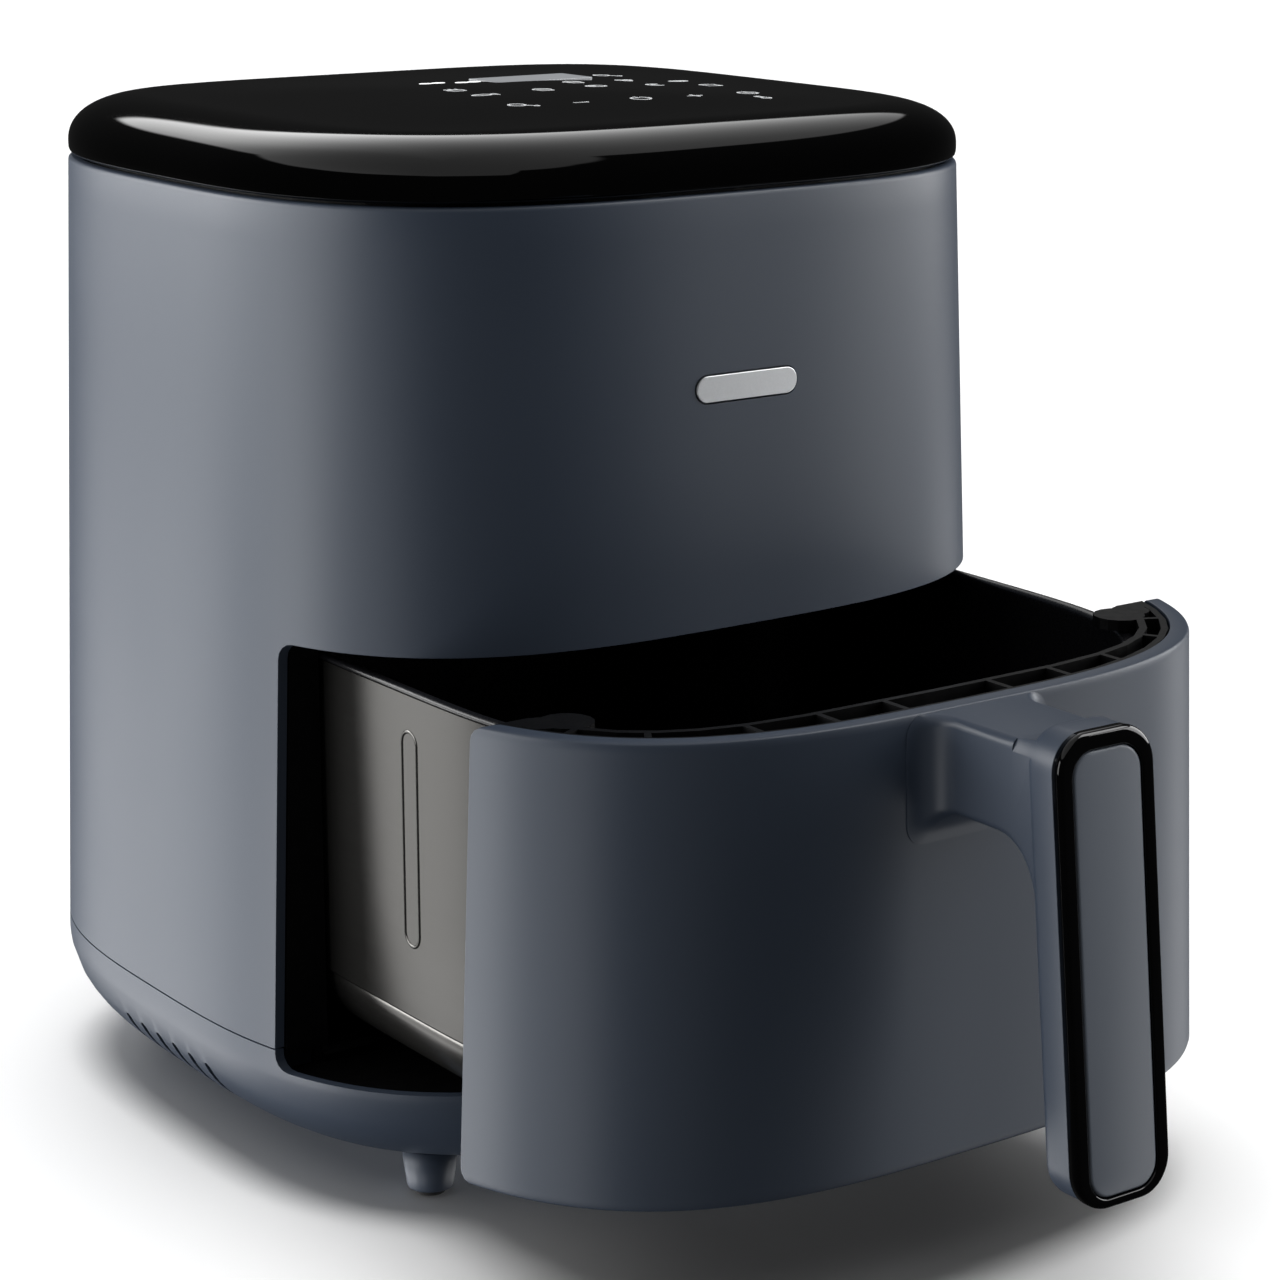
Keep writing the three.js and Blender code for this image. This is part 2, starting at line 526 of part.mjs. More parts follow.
const neckFront = neck.intersect(gripPrism).intersect(solid(block(-40, 40, -200, -151.9, 100, 200)));
const flare = new THREE.Shape();
flare.moveTo(-21, -124.6);
flare.absarc(-21.2, -130.6, 6, Math.PI / 2, 0, true);
flare.lineTo(15.2, -130.6);
flare.absarc(21.2, -130.6, 6, Math.PI, Math.PI / 2, true);
flare.closePath();
const rootFlare = solid(sheared(extrude(flare, NECK_TOP - 141, 6).translate(0, 0, 141), DRAFT, 141));
part('handle', minus(
  gripBody.add(neckRear).add(neckFront).add(rootFlare),
  ...handleScrews.map(([, x]) => pin(2.2, -139, -120, x, SCREW_Z, 12)),
), SLATE, true);
const frameShape = grip(GRIP_W * 2, gripTall, 10.3, gripMid);
frameShape.holes.push(new THREE.Path(grip(23.8, gripTall - 7, 7, gripMid - 1).getPoints(7)));
part('handle_frame', lean(facing(frameShape, 3, GRIP_Y + 3, 7)), GLOSS_BLACK, true);
part('handle_inlay', lean(facing(grip(23.2, gripTall - 7.6, 6.7, gripMid - 1), 2.7, GRIP_Y + 3, 5)), SLATE, true);
for (const [side, x] of handleScrews) {
  part(`handle_screw_${side}`, add(pin(3.7, -119.9, -117.6, x, SCREW_Z, 14), pin(1.8, -137, -119, x, SCREW_Z, 10)), SCREW, true);
}

// The origin is under the middle of the whole part as it stands.
const box3 = new THREE.Box3().setFromObject(group);
const shift = -(box3.min.y + box3.max.y) / 2;
for (const mesh of group.children) mesh.geometry.translate(-(box3.min.x + box3.max.x) / 2, shift, 0);

export default group;
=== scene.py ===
# %% [markdown]
# # A drawer air fryer
# This lesson dresses a finished engineering model of a small hot-air fryer: a slate housing on four feet,
# a glossy black lid with touch controls, and a drawer that stands part open with its pan, grill plate and
# handle. The engineering model is loaded as a fixed frame. It gives each body's place, the outer size and
# the mesh of every inner part. Large coloured skins are rebuilt finely enough to reflect light cleanly,
# from sizes written here in millimetres, and every other part gets its own finish.

# %% Load the frame
import math

import bmesh
import bpy
import numpy as np
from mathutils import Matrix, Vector


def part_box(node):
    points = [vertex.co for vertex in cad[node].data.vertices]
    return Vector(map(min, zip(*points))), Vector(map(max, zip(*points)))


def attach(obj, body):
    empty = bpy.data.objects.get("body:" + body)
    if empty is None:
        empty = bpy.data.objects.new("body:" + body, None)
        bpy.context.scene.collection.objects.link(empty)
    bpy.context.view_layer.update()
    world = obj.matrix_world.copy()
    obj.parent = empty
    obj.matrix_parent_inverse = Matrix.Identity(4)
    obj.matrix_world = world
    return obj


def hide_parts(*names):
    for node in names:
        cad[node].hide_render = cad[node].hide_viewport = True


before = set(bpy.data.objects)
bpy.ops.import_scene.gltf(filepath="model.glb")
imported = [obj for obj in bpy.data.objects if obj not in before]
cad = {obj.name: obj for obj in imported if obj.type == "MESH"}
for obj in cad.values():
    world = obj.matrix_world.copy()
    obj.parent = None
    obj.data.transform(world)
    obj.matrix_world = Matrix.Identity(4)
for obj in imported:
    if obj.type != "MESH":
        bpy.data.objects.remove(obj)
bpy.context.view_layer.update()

MM = 0.001

# %% [markdown]
# The housing and the drawer share one plan, a rounded square, but each has its own middle, because the
# drawer is pulled out. A part that is the same at the front and the back tells where that middle is: the
# ring under the lid for the housing, and the pan's bowl for the drawer. Measuring them is safer than typing
# the numbers again.

# %% Middles of the housing and the drawer
low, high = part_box("joint_ring")
HOUSING_Y = (low.y + high.y) / 2
low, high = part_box("pan_bowl")
DRAWER_Y = (low.y + high.y) / 2
print("drawer stands open by", round((HOUSING_Y - DRAWER_Y) / MM, 1), "mm")

# %% [markdown]
# ## Camera
# A product picture is taken with a long lens from a little above, so that upright edges stay almost
# upright. The lens is 92.5 mm on a 36 mm sensor, one metre away, turned 35 degrees to the left of the
# front.

# %% Camera
camera = bpy.data.objects.new("camera", bpy.data.cameras.new("camera"))
bpy.context.scene.collection.objects.link(camera)
camera.location = (-0.5533, -0.7714, 0.3994)
aim = Vector((0.0326, 0.0517, 0.1370)) - camera.location
camera.rotation_mode = "QUATERNION"
camera.rotation_quaternion = aim.to_track_quat("-Z", "Y")
camera.data.lens = 92.5
camera.data.sensor_width = 36
camera.data.clip_start = 0.05
camera.data.clip_end = 60
bpy.context.scene.camera = camera
print("camera distance:", round(aim.length, 3), "m")

# %% [markdown]
# ## Nodes
# Shaders and Geometry Nodes are both trees of boxes joined by wires. One small function is enough to add
# any box: it sets the box's own switches, then each input gets either a plain value or a wire from another
# box. Colours are written as the hex values of a colour picker, and one function turns them into linear
# light.

# %% Helpers for node trees
def node(tree, kind, settings=None, inputs=None):
    """Adds a box. An input takes a value, a socket, or another box, whose first output is then used."""
    made = tree.nodes.new(kind)
    for key, value in (settings or {}).items():
        setattr(made, key, value)
    for key, value in (inputs or {}).items():
        if isinstance(value, bpy.types.Node):
            value = value.outputs[0]
        if isinstance(value, bpy.types.NodeSocket):
            tree.links.new(value, made.inputs[key])
        else:
            made.inputs[key].default_value = value
    return made


def linear(hex_colour):
    parts = [int(hex_colour[i:i + 2], 16) / 255 for i in (1, 3, 5)]
    return tuple(p / 12.92 if p <= 0.04045 else ((p + 0.055) / 1.055) ** 2.4 for p in parts) + (1.0,)


print("slate in linear light:", [round(v, 3) for v in linear("#5f646e")])

# %% [markdown]
# ## A finish
# Every material starts from the same four questions: which colour is it, how much does that colour wander,
# how smooth is it and how does that wander, and what relief can a finger feel. The function below wires
# those four, with pattern sizes given in millimetres. Values that are the same all over go straight on the
# shader.

# %% Finish builder
def finish(name, colour, other, size, rough, rough_swing, relief=0.0, relief_size=1.0, stretch=(1, 1, 1),
           **shader):
    """One material: `size` and `relief_size` are pattern sizes in mm, `relief` is a bump's height in mm."""
    material = bpy.data.materials.new(name)
    material.use_nodes = True
    tree = material.node_tree
    tree.nodes.clear()
    place = node(tree, "ShaderNodeTexCoord").outputs["Object"]
    drawn = node(tree, "ShaderNodeMapping", {}, {"Vector": place, "Scale": stretch})
    cloud = node(tree, "ShaderNodeTexNoise", {},
                 {"Vector": drawn, "Scale": 1 / (size * MM), "Detail": 3.0})
    tint = node(tree, "ShaderNodeMix", {"data_type": "RGBA"},
                {"Factor": cloud.outputs["Fac"], "A": linear(colour), "B": linear(other)})
    sheen = node(tree, "ShaderNodeMapRange", {}, {
        "Value": cloud.outputs["Fac"], "From Min": 0.3, "From Max": 0.7,
        "To Min": rough - rough_swing, "To Max": rough + rough_swing})
    inputs = {"Base Color": tint.outputs["Result"], "Roughness": sheen}
    if relief:
        grain = node(tree, "ShaderNodeTexNoise", {},
                     {"Vector": drawn, "Scale": 1 / (relief_size * MM), "Detail": 2.0})
        inputs["Normal"] = node(tree, "ShaderNodeBump", {}, {
            "Height": grain.outputs["Fac"], "Distance": relief * MM, "Strength": 1.0})
    inputs.update({key.replace("_", " "): value for key, value in shader.items()})
    surface = node(tree, "ShaderNodeBsdfPrincipled", {}, inputs)
    node(tree, "ShaderNodeOutputMaterial", {}, {"Surface": surface})
    return material


print("finish builder ready")

# %% [markdown]
# ## The finishes
# The housing is moulded ABS sprayed with a satin slate lacquer: the eye sees a dark blue-grey that the
# lights turn pale in broad soft bands, and a hint of orange peel. The lid and the handle's frame are ABS
# moulded against a mirror-polished tool, which is what makes piano black. The pan's jacket is satin-coated
# steel with faint drawn lines, and its bowl is sprayed with a black non-stick coat that has a fine speckle.

# %% Plastics
# Satin slate lacquer on moulded ABS: dark blue-grey, with a pale broad sheen and orange peel 1.5 mm across.
slate_lacquer = finish("satin_slate_lacquer_on_abs", "#363f4d", "#394250", 60, 0.42, 0.015, 0.004, 1.5,
                       IOR=1.5)
# The same lacquer in a paler mix on the handle's inlay, a little smoother, which makes the face look crisp.
inlay_lacquer = finish("satin_pale_slate_lacquer_on_inlay", "#5d646f", "#616872", 40, 0.36, 0.015, 0.003, 1.5,
                       IOR=1.5)
# Piano-black ABS from a polished tool: nearly mirror-like, with faint polishing haze.
piano_black = finish("piano_black_polished_abs", "#040405", "#060607", 25, 0.045, 0.012, IOR=1.5)
# Spark-textured black polypropylene: matt, with grain of about 0.4 mm drawn at 0.8 mm so that it can be seen.
black_grained = finish("spark_textured_black_polypropylene", "#070708", "#0b0b0c", 3, 0.42, 0.05, 0.02, 0.8,
                       IOR=1.49, Specular_IOR_Level=0.14)
# Moulded silicone rubber: very matt, slightly dusty.
rubber = finish("moulded_black_silicone_rubber", "#151516", "#1c1c1d", 2, 0.82, 0.06, 0.02, 0.6, IOR=1.43)
print("plastics:", slate_lacquer.name, piano_black.name, black_grained.name, rubber.name)

# %% Metals and coatings
# Satin-coated drawn steel: warm grey, soft gloss. The drawing lines, 0.3 mm apart, are drawn 0.7 mm apart and
# run round the pan.
satin_steel = finish("satin_coated_drawn_steel", "#6a6967", "#706f6c", 0.7, 0.25, 0.02, 0.0012, 0.7,
                     stretch=(0.05, 0.05, 1), Metallic=0.85)
# Sprayed non-stick coating: black, low sheen, speckle of about 0.5 mm.
nonstick = finish("sprayed_black_nonstick_coating", "#08080a", "#18181b", 0.5, 0.3, 0.06, 0.006, 0.9,
                  IOR=1.42)
# Cold-rolled steel of the inner parts: light grey with a rolled grain along X.
rolled_steel = finish("cold_rolled_steel_sheet", "#9a9c9e", "#b2b4b6", 1.5, 0.36, 0.05, 0.002, 1.0,
                      stretch=(0.1, 1, 1), Metallic=1.0)
# Nickel alloy sheath of the heating coil, blued and dulled by heat.
heated_alloy = finish("heat_blued_nickel_alloy", "#4b463f", "#2f3138", 8, 0.5, 0.1, 0.01, 1.5, Metallic=0.9)
# Bead-blasted anodised aluminium of the badge and runners.
anodised = finish("bead_blasted_anodised_aluminium", "#c4c6c9", "#d2d4d6", 0.5, 0.34, 0.04, 0.004, 0.4,
                  Metallic=1.0)
# Zinc-plated screws: bright, slightly yellow where the plating is thin.
zinc = finish("zinc_plated_steel", "#a2a4a6", "#b6b3aa", 1.0, 0.3, 0.08, 0.002, 0.5, Metallic=1.0)
print("metals:", satin_steel.name, nonstick.name, rolled_steel.name, anodised.name)

# %% Glass, print and circuit board
# Smoked display window: dark glass, lit grey from behind.
smoked_glass = finish("smoked_display_glass", "#8b8d90", "#949699", 9, 0.08, 0.01, IOR=1.52,
                      Emission_Color=linear("#c9ccd0"), Emission_Strength=0.35)
# Screen-printed ink on the lid: pale grey, slightly matt. Its faint glow is painted light: it lifts the marks
# as if light fell on them, though they are not lit from behind.
pale_ink_with_painted_glow = finish("screen_printed_pale_grey_ink_with_painted_glow", "#b4b6b8", "#c2c4c6", 1.5, 0.5, 0.05, IOR=1.5,
                  Emission_Color=linear("#d6d8da"), Emission_Strength=0.4)
# White ink under a small lamp, for the marks that are lit.
lit_ink = finish("lit_white_ink", "#eef0f2", "#f6f8fa", 1.5, 0.4, 0.05, IOR=1.5,
                 Emission_Color=(1, 1, 1, 1), Emission_Strength=0.9)
# Green solder mask on glass-fibre board, with a weave of about 1 mm showing through.
solder_mask = finish("green_solder_mask_on_glass_fibre", "#143d22", "#1d5230", 1.0, 0.35, 0.08, 0.01, 1.0,
                     IOR=1.55)
print("glass and print:", smoked_glass.name, pale_ink_with_painted_glow.name, lit_ink.name)

# %% [markdown]
# ## The plan rule, in Geometry Nodes
# Every skin of the housing follows one rule: at any height its outline is a rounded square (a
# superellipse), which gets smaller by the same amount for each millimetre of height. The pan follows the
# same rule with other numbers. A net of points goes in, and each point carries five numbers: its turn round
# the plan, its inset from the outside, its height, a shrink factor for the crown of the lid and the flat of
# the base, and how much squarer it is than the rule. The tree moves each point to where the rule puts it.
# So the shape lives in one tree with named sizes, and a net only says how points join up.

# %% Geometry Nodes tree for the plan rule
SOCKETS = {float: "NodeSocketFloat", int: "NodeSocketInt", tuple: "NodeSocketVector",
           type(None): "NodeSocketObject"}


def new_tree(name, sizes):
    """A tree that takes a mesh, the inputs named in `sizes` and a material, and that tree's input sockets."""
    tree = bpy.data.node_groups.new(name, "GeometryNodeTree")
    tree.interface.new_socket("Geometry", in_out="OUTPUT", socket_type="NodeSocketGeometry")
    tree.interface.new_socket("Geometry", in_out="INPUT", socket_type="NodeSocketGeometry")
    for title, value in sizes.items():
        made = tree.interface.new_socket(title, in_out="INPUT", socket_type=SOCKETS[type(value)])
        if value is not None:
            made.default_value = value
    tree.interface.new_socket("Material", in_out="INPUT", socket_type="NodeSocketMaterial")
    return tree, node(tree, "NodeGroupInput").outputs


def end_tree(tree, given, geometry):
    """Ends a tree in Realize Instances and Set Material, so that plain painted faces come out."""
    real = node(tree, "GeometryNodeRealizeInstances", {}, {"Geometry": geometry})
    painted = node(tree, "GeometryNodeSetMaterial", {}, {"Geometry": real, "Material": given["Material"]})
    node(tree, "NodeGroupOutput", {}, {"Geometry": painted})
    print("tree", tree.name, "has", len(tree.nodes), "nodes")


rule_tree, given = new_tree("rounded_square_skin", {
    "Half width": 0.13, "Half depth": 0.127, "Taper": 0.03, "Joint height": 0.05, "Roundness": 3.0,
    "Middle": 0.0})
MARKS = ("turn", "inset", "height", "shrink", "square")
net = {title: node(rule_tree, "GeometryNodeInputNamedAttribute", {"data_type": "FLOAT"}, {"Name": title})
       for title in MARKS}
above = node(rule_tree, "ShaderNodeMath", {"operation": "SUBTRACT"},
             {0: net["height"], 1: given["Joint height"]})
lean = node(rule_tree, "ShaderNodeMath", {"operation": "MULTIPLY_ADD"},
            {0: above, 1: given["Taper"], 2: net["inset"]})
power = node(rule_tree, "ShaderNodeMath", {"operation": "ADD"}, {0: given["Roundness"], 1: net["square"]})
reach, terms = [], []
for wave, half in (("COSINE", "Half width"), ("SINE", "Half depth")):
    heading = node(rule_tree, "ShaderNodeMath", {"operation": wave}, {0: net["turn"]})
    room = node(rule_tree, "ShaderNodeMath", {"operation": "SUBTRACT"}, {0: given[half], 1: lean})
    share = node(rule_tree, "ShaderNodeMath", {"operation": "DIVIDE"}, {0: heading, 1: room})
    size = node(rule_tree, "ShaderNodeMath", {"operation": "ABSOLUTE"}, {0: share})
    terms.append(node(rule_tree, "ShaderNodeMath", {"operation": "POWER"}, {0: size, 1: power}))
    reach.append(heading)
total = node(rule_tree, "ShaderNodeMath", {"operation": "ADD"}, {0: terms[0], 1: terms[1]})
root = node(rule_tree, "ShaderNodeMath", {"operation": "DIVIDE"}, {0: -1.0, 1: power})
radius = node(rule_tree, "ShaderNodeMath", {"operation": "POWER"}, {0: total, 1: root})
short = node(rule_tree, "ShaderNodeMath", {"operation": "MULTIPLY"}, {0: radius, 1: net["shrink"]})
x = node(rule_tree, "ShaderNodeMath", {"operation": "MULTIPLY"}, {0: reach[0], 1: short})
y = node(rule_tree, "ShaderNodeMath", {"operation": "MULTIPLY_ADD"},
         {0: reach[1], 1: short, 2: given["Middle"]})
spot = node(rule_tree, "ShaderNodeCombineXYZ", {}, {0: x, 1: y, 2: net["height"]})
moved = node(rule_tree, "GeometryNodeSetPosition", {}, {"Geometry": given["Geometry"], "Position": spot})
end_tree(rule_tree, given, moved)

# %% [markdown]
# A tree is put to work by hanging it on an object, giving its inputs by identifier, and reading back the
# evaluated result as a plain mesh. The modifier is then gone, and what is left is an ordinary piece. Sharp
# edges get a small rounding, because every moulded edge has one and it is what catches the light.

# %% Running a tree and finishing a piece
def made_plain(piece):
    """Swaps a piece's mesh for what its modifiers make of it, and removes them."""
    plain = bpy.data.meshes.new_from_object(piece.evaluated_get(bpy.context.evaluated_depsgraph_get()))
    piece.modifiers.clear()
    piece.data = plain
    return piece


def grown(name, mesh, tree, values):
    """Runs a Geometry Nodes tree on a mesh and returns an object that holds the plain result."""
    piece = bpy.data.objects.new(name, mesh)
    bpy.context.scene.collection.objects.link(piece)
    modifier = piece.modifiers.new("rule", "NODES")
    modifier.node_group = tree
    for item in tree.interface.items_tree:
        if item.in_out == "INPUT" and item.name in values:
            modifier[item.identifier] = values[item.name]
    return made_plain(piece)


def tidy(piece, weld=0.002):
    """Merges doubled points, drops loose ones, turns the faces outwards and shades them smooth."""
    work = bmesh.new()
    work.from_mesh(piece.data)
    bmesh.ops.delete(work, geom=[v for v in work.verts if not v.link_faces], context="VERTS")
    bmesh.ops.remove_doubles(work, verts=work.verts, dist=weld * MM)
    bmesh.ops.dissolve_degenerate(work, edges=work.edges, dist=weld * MM / 2)
    bmesh.ops.recalc_face_normals(work, faces=work.faces)
    for face in work.faces:
        face.smooth = True
    bmesh.ops.delete(work, geom=[e for e in work.edges if not e.link_faces], context="EDGES")
    work.to_mesh(piece.data)
    work.free()
    return piece


def rounded(piece, width, angle=40, segments=3):
    """Rounds every edge sharper than `angle` by `width` mm."""
    bevel = piece.modifiers.new("rounding", "BEVEL")
    bevel.width = width * MM
    bevel.segments = segments
    bevel.limit_method = "ANGLE"
    bevel.angle_limit = math.radians(angle)
    bevel.harden_normals = True
    bevel.use_clamp_overlap = True
    return made_plain(piece)


def placed(piece, body, nodes=(), material=None):
    """Makes the piece ride on its body, stand for its frame parts, and take its finish."""
    if material:
        piece.data.materials.clear()
        piece.data.materials.append(material)
    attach(piece, body)
    if nodes:
        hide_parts(*nodes)
    print(piece.name, "has", len(piece.data.polygons), "faces")
    return piece


# %% [markdown]
# ## Nets
# A net is a grid of columns round the plan and rows up the wall. Where the drawer's opening cuts the
# housing, a column stands exactly on the cut at every height, and the grid cells outside the cut are left
# out. The rounded corners of the opening pass through the corners of grid cells, so half cells become
# triangles. This gives clean edges without any cutting of finished surfaces, which would leave marks in the
# reflections.

# %% Numbers of the plan and the net builder
HOUSING = {"Half width": 130.15 * MM, "Half depth": 127.7 * MM, "Taper": 0.0367, "Joint height": 47.5 * MM,
           "Roundness": 3.145, "Middle": HOUSING_Y}
FRONT = {**HOUSING, "Middle": DRAWER_Y}
PAN = {"Half width": 106.4 * MM, "Half depth": 104 * MM, "Taper": 0.0, "Joint height": 47.5 * MM,
       "Roundness": 4.1, "Middle": DRAWER_Y}
COLUMNS = 288


def room(rule, inset, height):
    """Half width and half depth in mm of a section, `inset` inwards from the outside."""
    lean = rule["Taper"] * (height - rule["Joint height"] / MM) + inset
    return rule["Half width"] / MM - lean, rule["Half depth"] / MM - lean


def turn_at(rule, y, inset, height):
    """The turn at which the right side of a section is y mm from its middle."""
    a, b = room(rule, inset, height)
    n = rule["Roundness"]
    return math.atan2(y, a * max(0.0, 1 - abs(y / b) ** n) ** (1 / n))


def even_turns(rule, inset, height):
    """Columns spaced evenly round the plan, the same at every height."""
    return np.linspace(-math.pi / 2, 1.5 * math.pi, COLUMNS, endpoint=False)


def skin(name, rule, rows, material, turns=even_turns, wrap=True, inside=None, wall=None):
    """A piece from rows of (inset, height, shrink, square) in mm. `wall` is its inner side, row for row.

    The last two may be left out. `inside` says which points, by depth and height, belong to the piece."""
    both = [rows] if wall is None else [rows, wall]
    points, places = [], []
    for side in both:
        for row in side:
            inset, height, shrink, square = list(row) + [1.0, 0.0][len(row) - 2:]
            for turn in turns(rule, inset, height):
                points.append((turn, inset * MM, height * MM, shrink, square))
                a, b = room(rule, inset, height)
                n = rule["Roundness"] + square
                r = (abs(math.cos(turn) / a) ** n + abs(math.sin(turn) / b) ** n) ** (-1 / n)
                places.append((r * math.sin(turn) * shrink, height))
    across = len(turns(rule, *rows[0][:2]))
    count = len(rows)
    kept = [inside is None or inside(*p) for p in places]
    faces, sides = [], {}
    for r in range(count - 1):
        for c in range(across if wrap else across - 1):
            low_row, high_row, right = r * across, (r + 1) * across, (c + 1) % across
            corners = [low_row + c, low_row + right, high_row + right, high_row + c]
            face = [v for v in corners if kept[v]]
            if len(face) < 3:
                continue
            faces.append(face)
            for p, q in zip(face, face[1:] + face[:1]):
                sides[frozenset((p, q))] = (p, q) if frozenset((p, q)) not in sides else None
    if wall is not None:
        shift = count * across
        faces += [[v + shift for v in reversed(face)] for face in faces]
        faces += [[q, p, p + shift, q + shift] for p, q in filter(None, sides.values())]
    mesh = bpy.data.meshes.new(name)
    mesh.from_pydata([(0, 0, 0)] * len(points), [], faces)
    for index, title in enumerate(MARKS):
        layer = mesh.attributes.new(title, "FLOAT", "POINT")
        layer.data.foreach_set("value", np.array([p[index] for p in points], np.float32))
    piece = grown(name, mesh, rule_tree, {**rule, "Material": material})
    for title in MARKS:
        if title in piece.data.attributes:
            piece.data.attributes.remove(piece.data.attributes[title])
    return tidy(piece)


def quarter(radius, steps):
    """A quarter round as (inset, depth) in mm, from the side wall to the face."""
    turns = np.linspace(0, math.pi / 2, steps + 1)
    return [(radius * (1 - math.cos(t)), radius * (1 - math.sin(t))) for t in turns]


def curve_rows(inset, height, run, rise, steps):
    """Rows of a quarter ellipse, upright at (inset, height) and flat at its end, `run` in and `rise` up."""
    turns = np.linspace(0, math.pi / 2, steps + 1)
    return [(inset + run * (1 - math.cos(t)), height + rise * math.sin(t)) for t in turns]


print("columns round the plan:", COLUMNS)

# %% [markdown]
# ## Outer shell
# On the real object this is one large moulding, 2.8 mm thick, sprayed outside. It could be cut from a
# solid, but then the reflections would show every cut. Here the drawer opening is part of the net: its
# sides stand at a fixed depth and its upper corners are rounded by 5 mm.

# %% Outer shell
OPEN_Y, OPEN_HIGH, OPEN_LOW, OPEN_R = -64.0, 168.0, 41.6, 5.0
SHELL_WALL, NEAR = 2.8, 1e-6


def corner_steps(y, radius):
    """Depths and rises in mm of the points that round a corner whose upright side stands at y."""
    steps = quarter(radius, 4)[::-1]
    return [y - inset for inset, rise in steps], [rise for inset, rise in steps]


def step_at(y, depths):
    """The corner point whose depth is y. In front of the corner it is the first one."""
    return 0 if y < depths[0] else int(np.argmin([abs(y - d) for d in depths]))


corner_depths, corner_rises = corner_steps(OPEN_Y, OPEN_R)


def opening_turns(rule, inset, height):
    """Columns that stand exactly on the depths of the opening's rounded corner."""
    marks = [turn_at(rule, y, inset, height) for y in corner_depths]
    half = np.concatenate([np.linspace(-math.pi / 2, marks[0], 44, endpoint=False), marks[:-1],
                           np.linspace(marks[-1], math.pi / 2, 100)])
    return np.concatenate([half, (math.pi - half[::-1])[1:-1]])


def above_opening(y, z):
    """Whether a point belongs to the shell: behind the opening, or above its rounded top."""
    return y > OPEN_Y - NEAR or z > OPEN_HIGH - corner_rises[step_at(y, corner_depths)] - NEAR


shell_heights = [47.9, 70, 95, 120, 145, 157] + [OPEN_HIGH - r for r in reversed(corner_rises)] \
    + [180, 200, 220, 240, 260, 280]
shell_rows = [(0, z) for z in shell_heights] + [(0, 289.2), (0.12, 289.9), (0.5, 290.4), (1.1, 290.6)]
shell_wall = [(SHELL_WALL, z) for z in shell_heights + [289.2, 289.7, 290.2, 290.6]]
outer_shell = skin("outer_shell_skin", HOUSING, shell_rows, slate_lacquer, opening_turns,
                   inside=above_opening, wall=shell_wall)
print("outer shell:", len(outer_shell.data.polygons), "faces before its holes")

# %% [markdown]
# The shell has one rectangular outlet for hot air and one round hole for the mains lead at the back, and
# a shallow recess for the badge in front. All are on nearly flat places, so a plain cut is enough there.
# The cutters are made with bmesh and removed after use.

# %% Helpers for solid blocks, and the holes in the shell
def solid(name, faces_of, material=None):
    """An object from a function that fills a bmesh."""
    work = bmesh.new()
    faces_of(work)
    bmesh.ops.recalc_face_normals(work, faces=work.faces)
    for face in work.faces:
        face.smooth = True
    mesh = bpy.data.meshes.new(name)
    work.to_mesh(mesh)
    work.free()
    piece = bpy.data.objects.new(name, mesh)
    bpy.context.scene.collection.objects.link(piece)
    if material:
        mesh.materials.append(material)
    return piece


def bands(work, rings, shut=False):
    """Skins rings of (x, y, z) points in mm, and joins the last to the first if `shut`, or caps both ends."""
    rows = [[work.verts.new([v * MM for v in point]) for point in ring] for ring in rings]
    for one, two in zip(rows, rows[1:] + (rows[:1] if shut else [])):
        for i in range(len(one)):
            j = (i + 1) % len(one)
            work.faces.new([one[i], one[j], two[j], two[i]])
    if not shut:
        work.faces.new(rows[0])
        work.faces.new(list(reversed(rows[-1])))


def banded(name, rings, shut=False):
    """A solid skinned over rings of points."""
    return solid(name, lambda work: bands(work, rings, shut))


def prism(name, outline, start, depth, axis="Z"):
    """A solid from an outline in mm, pushed `depth` mm along an axis from `start`."""
    order = {"Z": (0, 1, 2), "Y": (0, 2, 1), "X": (2, 0, 1)}[axis]
    ends = [[(p, q, d) for p, q in outline] for d in (start, start + depth)]
    return banded(name, [[[point[k] for k in order] for point in end] for end in ends])


def round_rect(width, height, radius, cx=0.0, cy=0.0, steps=8):
    """Outline in mm of a rectangle with rounded corners."""
    points = []
    for k, (sx, sy) in enumerate(((1, 1), (-1, 1), (-1, -1), (1, -1))):
        for i in range(steps + 1):
            t = math.pi / 2 * (k + i / steps)
            points.append((cx + sx * (width / 2 - radius) + radius * math.cos(t),
                           cy + sy * (height / 2 - radius) + radius * math.sin(t)))
    return points


def cut(piece, *tools, how="DIFFERENCE"):
    """Cuts or joins solids with the exact solver, then removes the tools."""
    for tool in tools:
        step = piece.modifiers.new("cut", "BOOLEAN")
        step.operation = how
        step.solver = "EXACT"
        step.object = tool
        made_plain(piece)
        bpy.data.objects.remove(tool)
    for face in piece.data.polygons:
        face.use_smooth = True
    return piece


back, OUTLET_Z, BADGE_Z = HOUSING_Y / MM, 212, 236.6
cut(outer_shell,
    prism("outlet_cutter", round_rect(92.8, 48.8, 3, 0, OUTLET_Z), back + 100, 60, "Y"),
    prism("lead_cutter", round_rect(13.6, 13.6, 6.79, 40, 66), back + 100, 60, "Y"),
    prism("badge_cutter", round_rect(36, 8.4, 4.19, 0, BADGE_Z), back - 126, 6.5, "Y"))
rounded(tidy(outer_shell), 0.35, 50)
placed(outer_shell, "housing", ["outer_shell"], slate_lacquer)

# %% [markdown]
# ## Base tray
# The base is a shallow dish whose wall curves in towards the feet along a quarter ellipse. It meets the
# shell in a fine open seam. Its rim drops at the front to make the sill of the drawer opening.

# %% Base tray
BASE_TOP, BEND_TOP, BASE_DROP, BASE_RUN, BASE_WALL = 47.5, 44.2, 34.2, 40.2, 2.6


def below_sill(y, z):
    """Whether a point belongs to the base: behind the opening, or below its sill."""
    return y > OPEN_Y - NEAR or z < OPEN_LOW + corner_rises[step_at(y, corner_depths)] + NEAR


